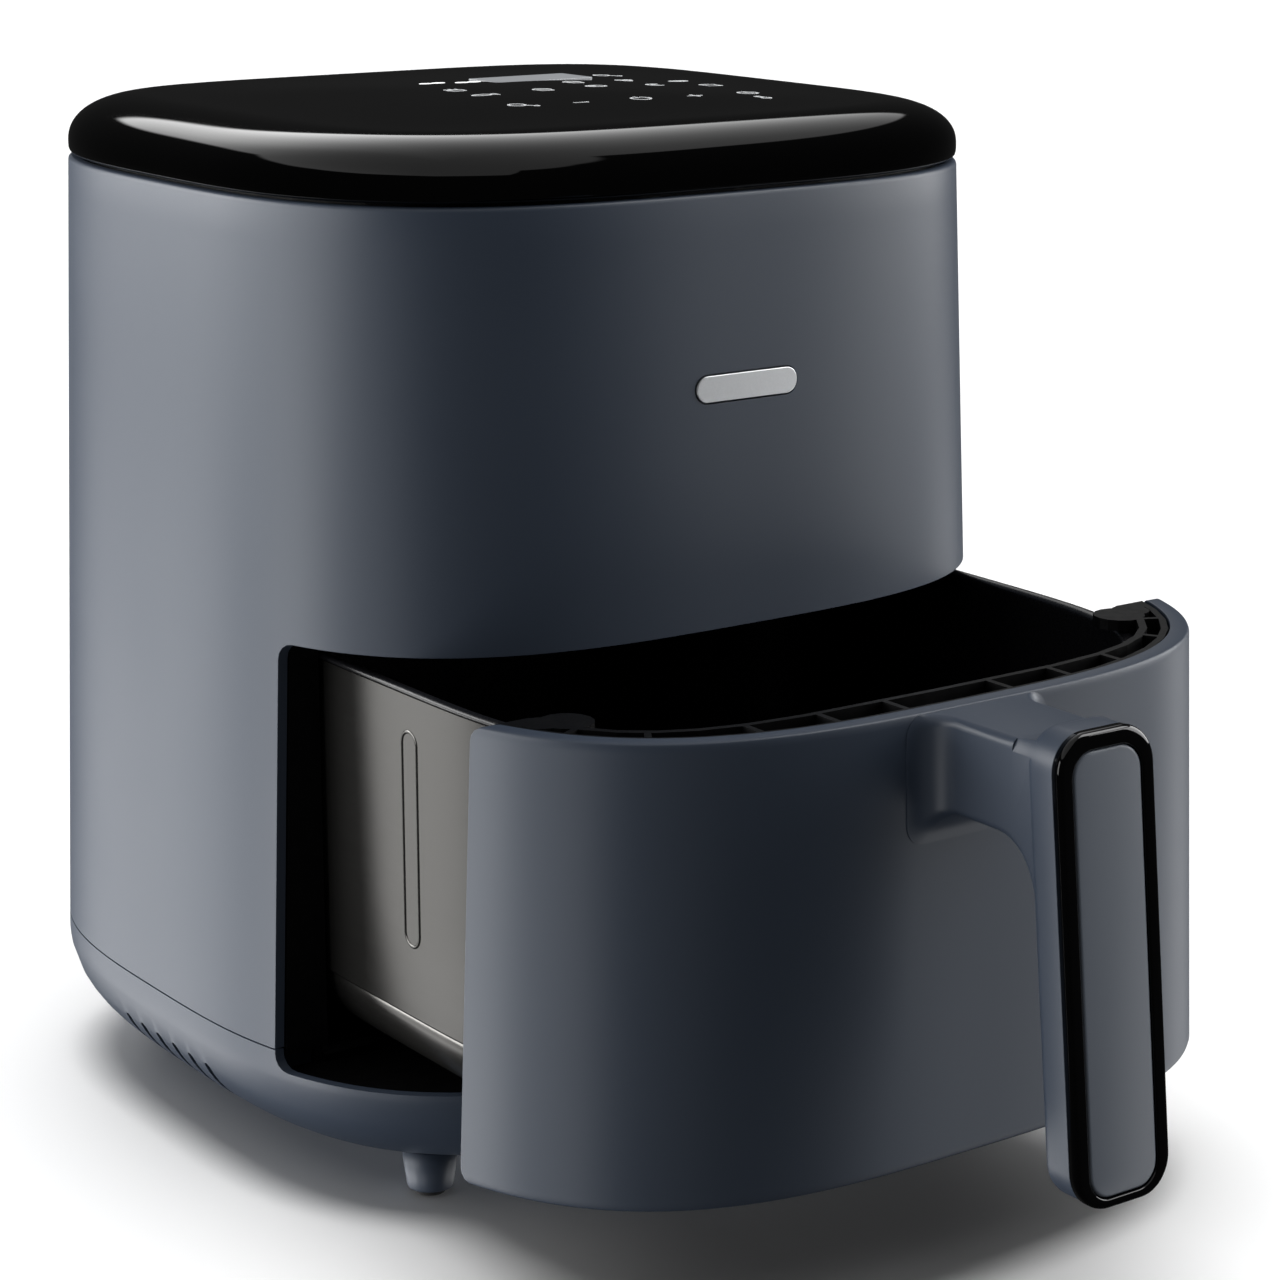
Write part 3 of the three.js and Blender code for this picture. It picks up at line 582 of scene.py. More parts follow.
def base_inset(z, wall):
    """Inset in mm of the base: upright above the bend, then a quarter ellipse down to the flat."""
    drop = max(0.0, BEND_TOP - z) / (BASE_DROP - wall)
    return wall + (BASE_RUN - wall) * (1 - math.sqrt(max(0.0, 1 - drop * drop)))


def base_side(wall):
    """Rows of the base `wall` mm inside its outer face: the flat, the curve, and the rim with the sill."""
    flat = [(BASE_RUN, BEND_TOP - BASE_DROP + wall, s) for s in (0, 0.4, 0.75, 0.9)]
    falls = [math.radians(90 - 90 * i / 16) for i in range(13)]
    heights = [BEND_TOP - (BASE_DROP - wall) * math.sin(t) for t in falls] + [OPEN_LOW - 3.0, OPEN_LOW - 1.2]
    heights += [OPEN_LOW + r for r in corner_rises] + [BASE_TOP]
    return flat + [(base_inset(z, wall), z) for z in heights]


base_rows, base_wall = base_side(0), base_side(BASE_WALL)
dish = skin("base_tray_dish", HOUSING, base_rows, slate_lacquer, opening_turns,
            inside=below_sill, wall=base_wall)
print("base rows:", len(base_rows), len(base_wall))

# %% [markdown]
# Cooling air enters through six slots low on each side. Slots are a repeat, so Geometry Nodes make them: a
# line of points carries one slot-shaped cutter each, the row is doubled on the other side, and the tree
# cuts them all at once. The number of slots and their spacing are inputs.

# %% Geometry Nodes tree for a row of slots
slot_tree, given = new_tree("row_of_slots", {
    "Count": 6, "Pitch": 10.2 * MM, "Start": (0.0, 0.0, 0.0), "Step direction": (0.0, 1.0, 0.0),
    "Mirror": (-1.0, 1.0, 1.0), "Cutter": None})
step = node(slot_tree, "ShaderNodeVectorMath", {"operation": "SCALE"},
            {"Vector": given["Step direction"], "Scale": given["Pitch"]})
line = node(slot_tree, "GeometryNodeMeshLine", {"mode": "OFFSET"},
            {"Count": given["Count"], "Start Location": given["Start"], "Offset": step})
shape = node(slot_tree, "GeometryNodeObjectInfo", {}, {"Object": given["Cutter"]})
row = node(slot_tree, "GeometryNodeInstanceOnPoints", {},
           {"Points": line, "Instance": shape.outputs["Geometry"]})
first = node(slot_tree, "GeometryNodeRealizeInstances", {}, {"Geometry": row})
other = node(slot_tree, "GeometryNodeTransform", {}, {"Geometry": first, "Scale": given["Mirror"]})
turned_round = node(slot_tree, "GeometryNodeFlipFaces", {}, {"Mesh": other})
cutters = node(slot_tree, "GeometryNodeJoinGeometry")
slot_tree.links.new(first.outputs[0], cutters.inputs[0])
slot_tree.links.new(turned_round.outputs[0], cutters.inputs[0])
carved = node(slot_tree, "GeometryNodeMeshBoolean", {"operation": "DIFFERENCE", "solver": "EXACT"},
              {"Mesh 1": given["Geometry"], "Mesh 2": cutters})
end_tree(slot_tree, given, carved)
slot_cutter = prism("slot_cutter", round_rect(3, 17, 1.45), 0, 40, "X")
base_tray = grown("base_tray_skin", dish.data, slot_tree, {
    "Count": 6, "Pitch": 10.2 * MM, "Start": (102 * MM, HOUSING_Y - 25.5 * MM, 23 * MM),
    "Step direction": (0, 1, 0), "Mirror": (-1, 1, 1), "Cutter": slot_cutter, "Material": slate_lacquer})
bpy.data.objects.remove(slot_cutter)
bpy.data.objects.remove(dish)
rounded(tidy(base_tray), 0.3, 45, 2)
placed(base_tray, "housing", ["base_tray"], slate_lacquer)

# %% [markdown]
# ## Feet
# Each foot is a tapered boss moulded with the base, hollow underneath to take a rubber pad. The same boss
# stands at four corners, so it is turned once on a lathe and Geometry Nodes put a copy at each corner of a
# rectangle whose width and depth are inputs.

# %% Turned shapes and the foot tree
def lathe(name, profile, steps):
    """A closed turned piece from (radius, height) points in mm that start and end on the axis."""
    def fill(work):
        rings = []
        for r, z in profile:
            if r < 1e-6:
                rings.append([work.verts.new((0, 0, z * MM))])
            else:
                rings.append([work.verts.new((r * math.cos(t) * MM, r * math.sin(t) * MM, z * MM))
                              for t in np.linspace(0, 2 * math.pi, steps, endpoint=False)])
        for one, two in zip(rings, rings[1:]):
            for i in range(steps):
                j = (i + 1) % steps
                loop = [one[i % len(one)], one[j % len(one)], two[j % len(two)], two[i % len(two)]]
                loop = [v for k, v in enumerate(loop) if v is not loop[k - 1]]
                if len(loop) > 2:
                    work.faces.new(loop)
    return solid(name, fill)


corner_tree, given = new_tree("copies_at_corners", {"Width": 0.1, "Depth": 0.1, "Centre": (0.0, 0.0, 0.0)})
corners = node(corner_tree, "GeometryNodeMeshGrid", {}, {
    "Size X": given["Width"], "Size Y": given["Depth"], "Vertices X": 2, "Vertices Y": 2})
at = node(corner_tree, "GeometryNodeTransform", {}, {"Geometry": corners, "Translation": given["Centre"]})
copies = node(corner_tree, "GeometryNodeInstanceOnPoints", {}, {"Points": at, "Instance": given["Geometry"]})
end_tree(corner_tree, given, copies)


def at_corners(name, shape, width, depth, material):
    """Copies a shape to the corners of a rectangle round the housing's middle."""
    piece = grown(name, shape.data, corner_tree, {
        "Width": width * MM, "Depth": depth * MM, "Centre": (0, HOUSING_Y, 0), "Material": material})
    bpy.data.objects.remove(shape)
    return tidy(piece)


def four(stem):
    """The names of four parts that stand at the corners."""
    return [f"{stem}_{end}_{side}" for end in ("front", "back") for side in ("left", "right")]


FEET_WIDE, FEET_DEEP = 169, 163.4
foot = lathe("foot_shape", [(0, 3.8), (5.1, 3.8), (5.1, 2.5), (5.3, 2.05), (6.3, 2), (6.75, 2.2), (6.95, 2.7),
                            (8.5, 14.6), (0, 14.6)], 40)
placed(at_corners("foot_bosses", foot, FEET_WIDE, FEET_DEEP, slate_lacquer), "housing")
pad = lathe("pad_shape", [(0, 0), (3.9, 0), (4.35, 0.15), (4.6, 0.6), (4.6, 3.4), (0, 3.4)], 28)
placed(at_corners("foot_rubbers", pad, FEET_WIDE, FEET_DEEP, rubber), "housing", four("foot_pad"))

# %% [markdown]
# ## Lid
# The lid is a thin black moulding that lies on the shell with a dark joint under it. Its shoulder is a
# quarter ellipse, and its top is a very low crown, so that water runs off. The crown leaves the shoulder
# without a corner, because on a mirror-like surface even a tiny corner shows as a line.

# %% Lid
LID_TOP, CROWN, SHOULDER, SQUARER = 308.6, 1.7, 27.8, 1.6


def crown(x, y):
    """Height in mm of the lid's top at x, y mm from its middle."""
    a, b = room(HOUSING, SHOULDER, LID_TOP)
    n = HOUSING["Roundness"] + SQUARER
    s = min(1.0, (abs(x / a) ** n + abs(y / b) ** n) ** (1 / n))
    return LID_TOP + CROWN * (1 - s * s) ** 2


rim = [(1.8, 291.4), (1.2, 291.55), (0.7, 291.9), (0.3, 292.45), (0.08, 293.2)]
shrinks = [0.96, 0.91, 0.85, 0.78, 0.7, 0.6, 0.5, 0.4, 0.3, 0.2, 0.1, 0.0]


def squarer(rows):
    """Rows of a shoulder whose plan grows squarer towards its top, ready for the crown."""
    return [(i, z, 1.0, SQUARER * (k / (len(rows) - 1)) ** 1.5) for k, (i, z) in enumerate(rows)]


lid_rows = rim + squarer(curve_rows(0, 294, SHOULDER, 14.6, 20)) \
    + [(SHOULDER, LID_TOP + CROWN * (1 - s * s) ** 2, s, SQUARER) for s in shrinks]
lid_wall = [(3.2, z) for z in (291.5, 292, 292.5, 293, 293.5)] \
    + squarer(curve_rows(3.2, 294, SHOULDER - 3.2, 12.0, 20)) \
    + [(SHOULDER, LID_TOP - 2.6 + CROWN * (1 - s * s) ** 2, s, SQUARER) for s in shrinks]
lid = skin("lid_skin", HOUSING, lid_rows, piano_black, wall=lid_wall)
WINDOW_X, WINDOW_Y, WINDOW_W, WINDOW_D = 28, 30, 36, 18
window_at = (WINDOW_X, HOUSING_Y / MM + WINDOW_Y)
cut(lid, prism("window_cutter", round_rect(WINDOW_W + 0.5, WINDOW_D + 0.5, 1.4, *window_at), 308.6, 5))
placed(rounded(tidy(lid), 0.12, 50, 2), "housing", ["lid"], piano_black)
window = prism("display_pane", round_rect(WINDOW_W, WINDOW_D, 1.2, *window_at), 309.0, 1.05)
placed(rounded(window, 0.15, 50, 2), "housing", ["display_window"], smoked_glass)
print("crown above the shoulder:", CROWN, "mm")

# %% [markdown]
# ## Printed marks
# The touch marks are screen-printed on the lid. Ink is a thin film, here 0.05 mm, so each mark is a set of
# narrow ribbons that follow the crown. The marks are plain signs: plus, minus, start, and simple outlines
# of foods.

# %% Ribbons of ink
FILM, ROOT = 0.05, 0.1


def ribbon(work, line, width, closed):
    """Adds one ribbon of ink along a line of (x, y) points in mm measured from the lid's middle."""
    count = len(line)
    rails = []
    for i, (x, y) in enumerate(line):
        before = line[i - 1] if closed or i else line[0]
        after = line[(i + 1) % count] if closed or i < count - 1 else line[-1]
        dx, dy = after[0] - before[0], after[1] - before[1]
        half = width / 2 / (math.hypot(dx, dy) or 1.0)
        rails.append([(x - side * dy * half, y + side * dx * half + back, crown(x, y) + up)
                      for side, up in ((1, FILM), (-1, FILM), (-1, -ROOT), (1, -ROOT))])
    bands(work, rails, closed)


def arc(cx, cy, rx, ry=None, start=0.0, stop=360.0, steps=24):
    """Points of an arc of an ellipse. A full turn leaves out the last point, which is the first one again."""
    ry = rx if ry is None else ry
    count = steps if stop - start == 360 else steps + 1
    turns = [math.radians(start + (stop - start) * i / steps) for i in range(count)]
    return [(cx + rx * math.cos(t), cy + ry * math.sin(t)) for t in turns]


SIGNS = {
    "plus": [([(-2.6, 0), (2.6, 0)], 0), ([(0, -2.6), (0, 2.6)], 0)],
    "minus": [([(-2.6, 0), (2.6, 0)], 0)],
    "start": [(arc(0, 0, 3, start=115, stop=425), 0), ([(0, 1.2), (0, 4)], 0)],
    "fish": [(arc(-0.8, 0, 3.2, 1.7), 1), ([(2.2, 0.3), (4.3, 1.8), (4.3, -1.8), (2.2, -0.3)], 0)],
    "chips": [([(-2, -3), (2, -3), (2.7, 0.4), (-2.7, 0.4)], 1), ([(-1.6, 0.6), (-1.9, 3.2)], 0),
              ([(0, 0.6), (0, 3.8)], 0), ([(1.6, 0.6), (1.9, 3.2)], 0)],
    "joint": [(arc(-0.9, 0.9, 2.5), 1), ([(0.9, -0.9), (3, -3)], 0),
              (arc(3.2, -3.2, 0.8, start=-170, stop=80, steps=10), 0)],
    "cake": [([(-2, -3), (2, -3), (2.6, 0.2), (-2.6, 0.2)], 1), (arc(0, 0.2, 2.9, 2.8, 0, 180, 14), 0)],
    "steak": [(arc(0, 0, 3.4, 2.4), 1), (arc(-1.2, 0.4, 0.9, steps=12), 1)],
    "clock": [(arc(0, 0, 3.1), 1), ([(0, 2), (0, 0), (1.5, -0.9)], 0)],
    "degree": [(arc(0, -2.2, 1.4, start=-240, stop=60, steps=14), 0),
               ([(-0.7, -1), (-0.7, 3), (0.7, 3), (0.7, -1)], 0)],
    "prawn": [(arc(0, 0, 2.8, start=40, stop=300), 0), (arc(0.2, 0, 1.3, start=60, stop=280, steps=14), 0)],
    "leaf": [(arc(0, 0, 3.3, 1.6, 0, 360), 1), ([(-3.6, 0), (3, 0)], 0)],
    "toast": [([(-2.4, -2.6), (2.4, -2.6), (2.4, 1.2), (2.9, 2.2), (1.6, 3), (-1.6, 3), (-2.9, 2.2),
                (-2.4, 1.2)], 1)],
    "fan": [(arc(math.cos(t) * 1.7, math.sin(t) * 1.7, 1.3, steps=14), 1) for t in (0.5, 2.6, 4.7)],
    "lamps": [(arc(-2.2, 0, 1.7, 1.1, steps=18), 1), (arc(2.2, 0, 1.7, 1.1, steps=18), 1)],
}
INK_PLACES = [("chips", -15.8, 5.4), ("fish", -16.7, -12.3), ("joint", -22.6, -41.2), ("minus", -3.1, -43.6),
              ("start", 18.6, -43.4), ("plus", 37.5, -44.7), ("clock", 58.5, -43.3), ("degree", 53.9, -56.4),
              ("cake", 6.8, -8.6), ("steak", 28.7, -5.3), ("prawn", 49.7, -7.3), ("leaf", 66.1, 3.1),
              ("toast", 65.9, -14.5), ("fan", 51.4, 11.4), ("cake", 30.9, 10.5), ("joint", 58, 31.8)]
LIT_PLACES = [("lamps", -6.8, 32.9), ("lamps", 4, 29.1)]


def printed(name, places, width, material):
    """All the signs of one ink as one piece."""
    def fill(work):
        for sign, x, y in places:
            for line, closed in SIGNS[sign]:
                ribbon(work, [(x + p, y + q) for p, q in line], width, closed)
    return placed(solid(name, fill, material), "housing", (), material)


# The pale marks take the ink with the painted glow, which stands in for light falling on them.
printed("printed_marks", INK_PLACES, 0.7, pale_ink_with_painted_glow)
printed("lit_marks", LIT_PLACES, 1.3, lit_ink)

# %% [markdown]
# ## Drawer front
# The drawer's face continues the shell, so it uses the same rule and the same kind of net, with all four
# corners rounded. The moulding folds back at its top to make a lip 4.8 mm wide. The lip is part of the
# net's inner side.

# %% Drawer front
FACE_Y, FACE_LOW, FACE_HIGH, FACE_R = -64.6, 42.4, 167.2, 4.4
face_depths, face_rises = corner_steps(FACE_Y, FACE_R)


def face_turns(rule, inset, height):
    """Columns of the face, from its left end round the front to its right end."""
    marks = [turn_at(rule, y, inset, height) for y in face_depths]
    right = np.concatenate([np.linspace(-math.pi / 2, marks[0], 56, endpoint=False), marks])
    return np.concatenate([(-math.pi - right[::-1])[:-1], right])


def on_face(y, z):
    """Whether a point lies within the face's rounded outline."""
    rise = face_rises[step_at(y, face_depths)]
    return y < FACE_Y + NEAR and FACE_LOW + rise - NEAR < z < FACE_HIGH - rise + NEAR


FACE_WALL, LIP_WALL = 3, 4.8
face_low = [FACE_LOW + r for r in face_rises]
face_high = [FACE_HIGH - r for r in reversed(face_rises)]
face_insets = [0.9, 0.3, 0, 0, 0]
middle_heights = [65, 85, 105, 125, 145]
face_rows = list(zip(face_insets, face_low)) + [(0, z) for z in middle_heights]
face_wall = [(FACE_WALL, z) for z in face_low + middle_heights]
for k, z in enumerate(face_high):
    face_rows += [(face_insets[4 - k], z)] * (2 if k == 1 else 1)
    face_wall += [(FACE_WALL, z), (LIP_WALL, z)] if k == 1 else [(FACE_WALL if k < 1 else LIP_WALL, z)]
drawer_front = skin("drawer_front_skin", FRONT, face_rows, slate_lacquer, face_turns, wrap=False,
                    inside=on_face, wall=face_wall)
placed(rounded(drawer_front, 0.3, 40), "drawer", ["drawer_front"], slate_lacquer)

# %% [markdown]
# ## Pan
# The pan is two sheets: a satin jacket outside and a coated bowl inside, whose rim is rolled over the
# jacket. Both use the plan rule with a squarer outline and no taper. A pressed upright ridge stiffens each
# side of the jacket, and a groove runs round it where the bottom is joined on.

# %% Pan jacket
WALL_FOOT = 66.7


def pan_bottom(inset, run, drop):
    """Rows of a pan's flat bottom and of the curve from it up to the wall's foot."""
    flat = [(inset + run, WALL_FOOT - drop, s) for s in (0, 0.5, 0.9)]
    return flat + [(i, WALL_FOOT - z) for i, z in reversed(curve_rows(inset, 0, run, drop, 12))]


jacket_rows = pan_bottom(1, 20, 19.5) + [
    (1.25, 66.9), (1.25, 67.3), (0.5, 67.4), (0.12, 67.6), (0, 68.1), (0, 100), (0, 130), (0, 160.6)]
jacket_wall = pan_bottom(2.3, 18.7, 18.2) + [
    (2.3, 66.9), (2.2, 67.3), (1.9, 67.8), (1.5, 68.6), (1.3, 69.4), (1.3, 100), (1.3, 130), (1.3, 160.6)]
pan_jacket = skin("pan_jacket_skin", PAN, jacket_rows, satin_steel, wall=jacket_wall)


def joined(piece, *others):
    """Puts other solids into the piece's mesh."""
    work = bmesh.new()
    work.from_mesh(piece.data)
    for other in others:
        work.from_mesh(other.data)
        bpy.data.objects.remove(other)
    work.to_mesh(piece.data)
    work.free()
    return piece


def ridge(name, side):
    """A pressed ridge: a stadium-shaped bead that follows its own outline."""
    centre = round_rect(7.4, 61.8, 3.69, DRAWER_Y / MM - 11.8, 119.6, 10)
    bead = [(-0.7, -0.3), (-0.5, 0.1), (-0.18, 0.3), (0.18, 0.3), (0.5, 0.1), (0.7, -0.3)]
    rings = []
    for i, (y, z) in enumerate(centre):
        (y0, z0), (y1, z1) = centre[i - 1], centre[(i + 1) % len(centre)]
        size = math.hypot(y1 - y0, z1 - z0) or 1.0
        ny, nz = (z1 - z0) / size, -(y1 - y0) / size
        rings.append([(side * (PAN["Half width"] / MM + out), y + ny * w, z + nz * w) for w, out in bead])
    return banded(name, rings, True)


joined(pan_jacket, ridge("ridge_left", -1), ridge("ridge_right", 1))
placed(rounded(pan_jacket, 0.25, 60, 2), "drawer", ["pan_jacket"], satin_steel)

# %% [markdown]
# The bowl hangs inside the jacket by its rolled rim. Its rows follow the same bottom curve 1.7 mm further
# in, and the rim is a roll of short rows over the jacket's edge, so that its highlight runs on unbroken.

# %% Pan bowl
bowl_rows = pan_bottom(2.7, 18.7, 17.7) + [
    (2.2, 115), (1.7, 160.7), (0.2, 160.85), (-0.45, 161.1), (-0.75, 161.6), (-0.6, 162.2), (-0.1, 162.6),
    (0.7, 162.7)]
bowl_wall = pan_bottom(3.9, 17.5, 16.5) + [
    (3.4, 115), (3.0, 159.5), (2.95, 160.3), (2.9, 160.9), (2.75, 161.5), (2.45, 162.05), (1.95, 162.45),
    (1.3, 162.65)]
pan_bowl = skin("pan_bowl_skin", PAN, bowl_rows, nonstick, wall=bowl_wall)
placed(pan_bowl, "drawer", ["pan_bowl"], nonstick)

# %% [markdown]
# ## Grill plate
# The plate lifts out of the bowl. It is perforated so that hot air rises through the food. The holes are a
# field of copies on a grid, cut by one boolean in Geometry Nodes, with the number of holes and their
# spacing as inputs.

# %% Geometry Nodes tree for perforations
hole_tree, given = new_tree("perforated_plate", {
    "Holes each way": 11, "Field": 0.16, "Hole radius": 0.0036, "Clear middle": 0.018,
    "Centre": (0.0, 0.0, 0.0)})
field = node(hole_tree, "GeometryNodeMeshGrid", {}, {
    "Size X": given["Field"], "Size Y": given["Field"], "Vertices X": given["Holes each way"],
    "Vertices Y": given["Holes each way"]})
spot = node(hole_tree, "GeometryNodeInputPosition")
distance = node(hole_tree, "ShaderNodeVectorMath", {"operation": "LENGTH"}, {"Vector": spot})
near = node(hole_tree, "FunctionNodeCompare", {"data_type": "FLOAT", "operation": "GREATER_THAN"},
            {"A": distance.outputs["Value"], "B": given["Clear middle"]})
drill = node(hole_tree, "GeometryNodeMeshCylinder", {},
             {"Vertices": 16, "Radius": given["Hole radius"], "Depth": 20 * MM})
holes = node(hole_tree, "GeometryNodeInstanceOnPoints", {}, {
    "Points": field, "Selection": near, "Instance": drill})
moved = node(hole_tree, "GeometryNodeTransform", {}, {"Geometry": holes, "Translation": given["Centre"]})
real = node(hole_tree, "GeometryNodeRealizeInstances", {}, {"Geometry": moved})
carved = node(hole_tree, "GeometryNodeMeshBoolean", {"operation": "DIFFERENCE", "solver": "EXACT"},
              {"Mesh 1": given["Geometry"], "Mesh 2": real})
end_tree(hole_tree, given, carved)

# %% Grill plate
PLATE = {**PAN, "Half width": 98 * MM, "Half depth": 95.6 * MM}
PLATE_Z = 66
plate_rows = [(i, PLATE_Z + z, *s) for i, z, *s in (
    (0, -5), (0, -1), (0, 0.6), (0.3, 1.3), (1, 1.6), (8, 1.6), (8, 1.6, 0.5), (8, 1.6, 0))]
plate_wall = [(i, PLATE_Z + z, *s) for i, z, *s in (
    (1.6, -5), (1.6, -2), (1.6, -1.3), (1.9, -0.4), (2.6, 0), (8, 0), (8, 0, 0.5), (8, 0, 0))]
plate_net = skin("grill_plate_net", PLATE, plate_rows, nonstick, wall=plate_wall)
grill_plate = grown("grill_plate_skin", plate_net.data, hole_tree, {
    "Holes each way": 11, "Field": 160 * MM, "Hole radius": 3.6 * MM, "Clear middle": 18 * MM,
    "Centre": (0, DRAWER_Y, PLATE_Z * MM), "Material": nonstick})
bpy.data.objects.remove(plate_net)


def ring_of(name, outer, inner, profile, shear=lambda z: 0):
    """A frame between two outlines of equal points. `profile` has (share of the way in, depth along Y)."""
    rings = []
    for share, depth in profile:
        line = [(x0 + (x1 - x0) * share, z0 + (z1 - z0) * share) for (x0, z0), (x1, z1) in zip(outer, inner)]
        rings.append([(x, depth + shear(z), z) for x, z in line])
    return banded(name, rings, True)


middle = DRAWER_Y / MM
loop_outside, loop_inside = round_rect(26, 18, 5, 0, PLATE_Z + 9), round_rect(17, 9, 3, 0, PLATE_Z + 9.6)
lifting_loop = ring_of("lifting_loop", loop_outside, loop_inside, [
    (0.12, middle - 2), (0, middle - 1.5), (0, middle + 1.5), (0.12, middle + 2),
    (0.88, middle + 2), (1, middle + 1.5), (1, middle - 1.5), (0.88, middle - 2)])
joined(tidy(grill_plate), lifting_loop)
placed(rounded(grill_plate, 0.25, 50, 2), "grill", ["grill_plate"], nonstick)

# %% [markdown]
# ## Handle
# The handle is one slate moulding, a neck and an upright grip, with two things let into its face: a
# piano-black frame and a slate inlay. The face leans forward towards its foot. The grip is a stack of
# rounded outlines, and the neck is cut to the grip's outline where it reaches it, which leaves the curved
# step seen on top.

# %% Handle
GRIP_TOP, GRIP_LOW, GRIP_Y, LEAN = 171.1, 47.9, -171.9, 13.6 / 123.2
grip_mid, grip_tall = (GRIP_TOP + GRIP_LOW) / 2, GRIP_TOP - GRIP_LOW


def lean(z):
    """How far the handle's face leans forward at a height, in mm."""
    return LEAN * (z - GRIP_TOP)


def stack(name, width, height, radius, cz, layers):
    """A leaning block whose outline shrinks by `inset` at each (inset, depth) layer."""
    rings = []
    for inset, depth in layers:
        line = round_rect(width - 2 * inset, height - 2 * inset, max(radius - inset, 0.5), 0, cz, 10)
        rings.append([(x, middle + depth + lean(z), z) for x, z in line])
    return banded(name, rings)


handle = stack("handle_moulding", 31.8, 122.6, 10, grip_mid, [
    (0.4, GRIP_Y + 3.3), (0, GRIP_Y + 3.6), (0, GRIP_Y + 10.9), (0.3, GRIP_Y + 12.1), (1.1, GRIP_Y + 13.1),
    (2.4, GRIP_Y + 13.6)])
print("grip is", round(grip_tall, 1), "mm tall")

# %% [markdown]
# The neck is drawn from the side: a nearly level top, and an underside that bends down into the grip along
# a curve with three control points. It could be one block, but the step on top where it meets the grip is
# cut to the grip's outline, so it is made in two and united. A hollow round joins it to the drawer's face.

# %% Neck
NECK_HALF, NECK_R, FILLET, SUNK = 15.2, 2.4, 9, 1.5


def front_at(z):
    """Depth in mm of the drawer's face in its middle."""
    return -room(FRONT, 0, z)[1]


BEND_START, BEND_PULL, BEND_END = (-148, 140.8), (-162.6, 140.2), (-165, 117)
bend = [tuple(a * (1 - t) ** 2 + b * 2 * t * (1 - t) + c * t * t
              for a, b, c in zip(BEND_START, BEND_PULL, BEND_END)) for t in np.linspace(0, 1, 11)]
neck_low = [(front_at(141) + SUNK, 141)] + bend + [(-171, 112.6)]
neck_high = [(-167.6, 168.3), (-152, 166.8), (front_at(166.8) + SUNK, 166.8)]


def neck_block(name):
    """The neck from side to side, with its long edges rounded."""
    sides = []
    for inset, short in quarter(NECK_R, 4)[::-1]:
        line = [(y - 0.4 * inset, z + inset) for y, z in neck_low] + [(y, z - inset) for y, z in neck_high]
        sides.append((NECK_HALF - short, line))
    sides = [(-x, line) for x, line in sides] + sides[::-1]
    return banded(name, [[(x, y + middle, z) for y, z in line] for x, line in sides])


def keep_box(y, depth):
    """A tall box that keeps only the part of the neck between two depths."""
    return prism("keep", [(-30, 100), (30, 100), (30, 200), (-30, 200)], middle + y, depth, "Y")


def root_fillet(name):
    """A hollow round between the neck and the drawer's face, open at the top like the neck itself."""
    rings = []
    for spread, depth in [(FILLET, -SUNK)] + quarter(FILLET, 8)[::-1]:
        line = round_rect(2 * NECK_HALF + 2 * spread, 25.9 + spread, NECK_R + 0.35 * spread, 0,
                          140.85 + (25.9 - spread) / 2, 6)
        rings.append([(x, middle + front_at(z) - depth, z) for x, z in line])
    return banded(name, rings)


neck_back, neck_front = neck_block("neck_back"), neck_block("neck_front")
cut(neck_back, keep_box(-154, 60), how="INTERSECT")
cut(neck_front, stack("grip_prism", 31.2, 122, 9.7, grip_mid, [(0, GRIP_Y - 2), (0, GRIP_Y + 45)]),
    keep_box(-200, 46.05), how="INTERSECT")
cut(handle, neck_back, neck_front, root_fillet("root_fillet"), how="UNION")
placed(rounded(tidy(handle, 0.01), 0.5, 38, 3), "drawer", ["handle"], slate_lacquer)

# %% [markdown]
# The frame is a glossy ring with a large round on its outer edge and a small one inside. A bevel could make
# both, but with one size for all edges, so the ring's section is written as two quarter rounds instead.

# %% Frame and inlay of the handle
FRAME_WIDE, BAND, FRAME_DEEP, OUTER_ROUND, INNER_ROUND = 32.4, 4.3, 3, 1.4, 0.6
outside = [(inset / BAND, depth) for inset, depth in quarter(OUTER_ROUND, 6)]
inside = [(1 - inset / BAND, depth) for inset, depth in quarter(INNER_ROUND, 6)[::-1]]
frame_profile = [(0, FRAME_DEEP)] + outside + inside + [(1, FRAME_DEEP)]
handle_frame = ring_of("handle_frame_ring", round_rect(FRAME_WIDE, grip_tall, 10.3, 0, grip_mid, 12),
                       round_rect(FRAME_WIDE - 2 * BAND, grip_tall - 7, 7, 0, grip_mid - 1, 12),
                       [(share, middle + GRIP_Y + depth) for share, depth in frame_profile], lean)
placed(handle_frame, "drawer", ["handle_frame"], piano_black)
handle_inlay = stack("handle_inlay_pad", 23.2, grip_tall - 7.6, 6.7, grip_mid - 1, [
    (1.0, GRIP_Y + 0.3), (0.5, GRIP_Y + 0.38), (0.15, GRIP_Y + 0.6), (0, GRIP_Y + 1), (0, GRIP_Y + 3)])
placed(rounded(handle_inlay, 0.05, 60, 1), "drawer", ["handle_inlay"], inlay_lacquer)

# %% [markdown]
# ## Badge and outlet grille
# A small plain aluminium badge sits in a recess of the shell. At the back, hot air leaves through a grille.
# Its louvres are a repeat, so a tree copies one tilted blade up the opening.

# %% Badge
low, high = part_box("badge")
badge = prism("badge_plate", round_rect(35.2, 7.6, 3.7, 0, BADGE_Z, 10), low.y / MM, (high.y - low.y) / MM,
              "Y")
placed(rounded(badge, 0.3, 50, 3), "housing", ["badge"], anodised)

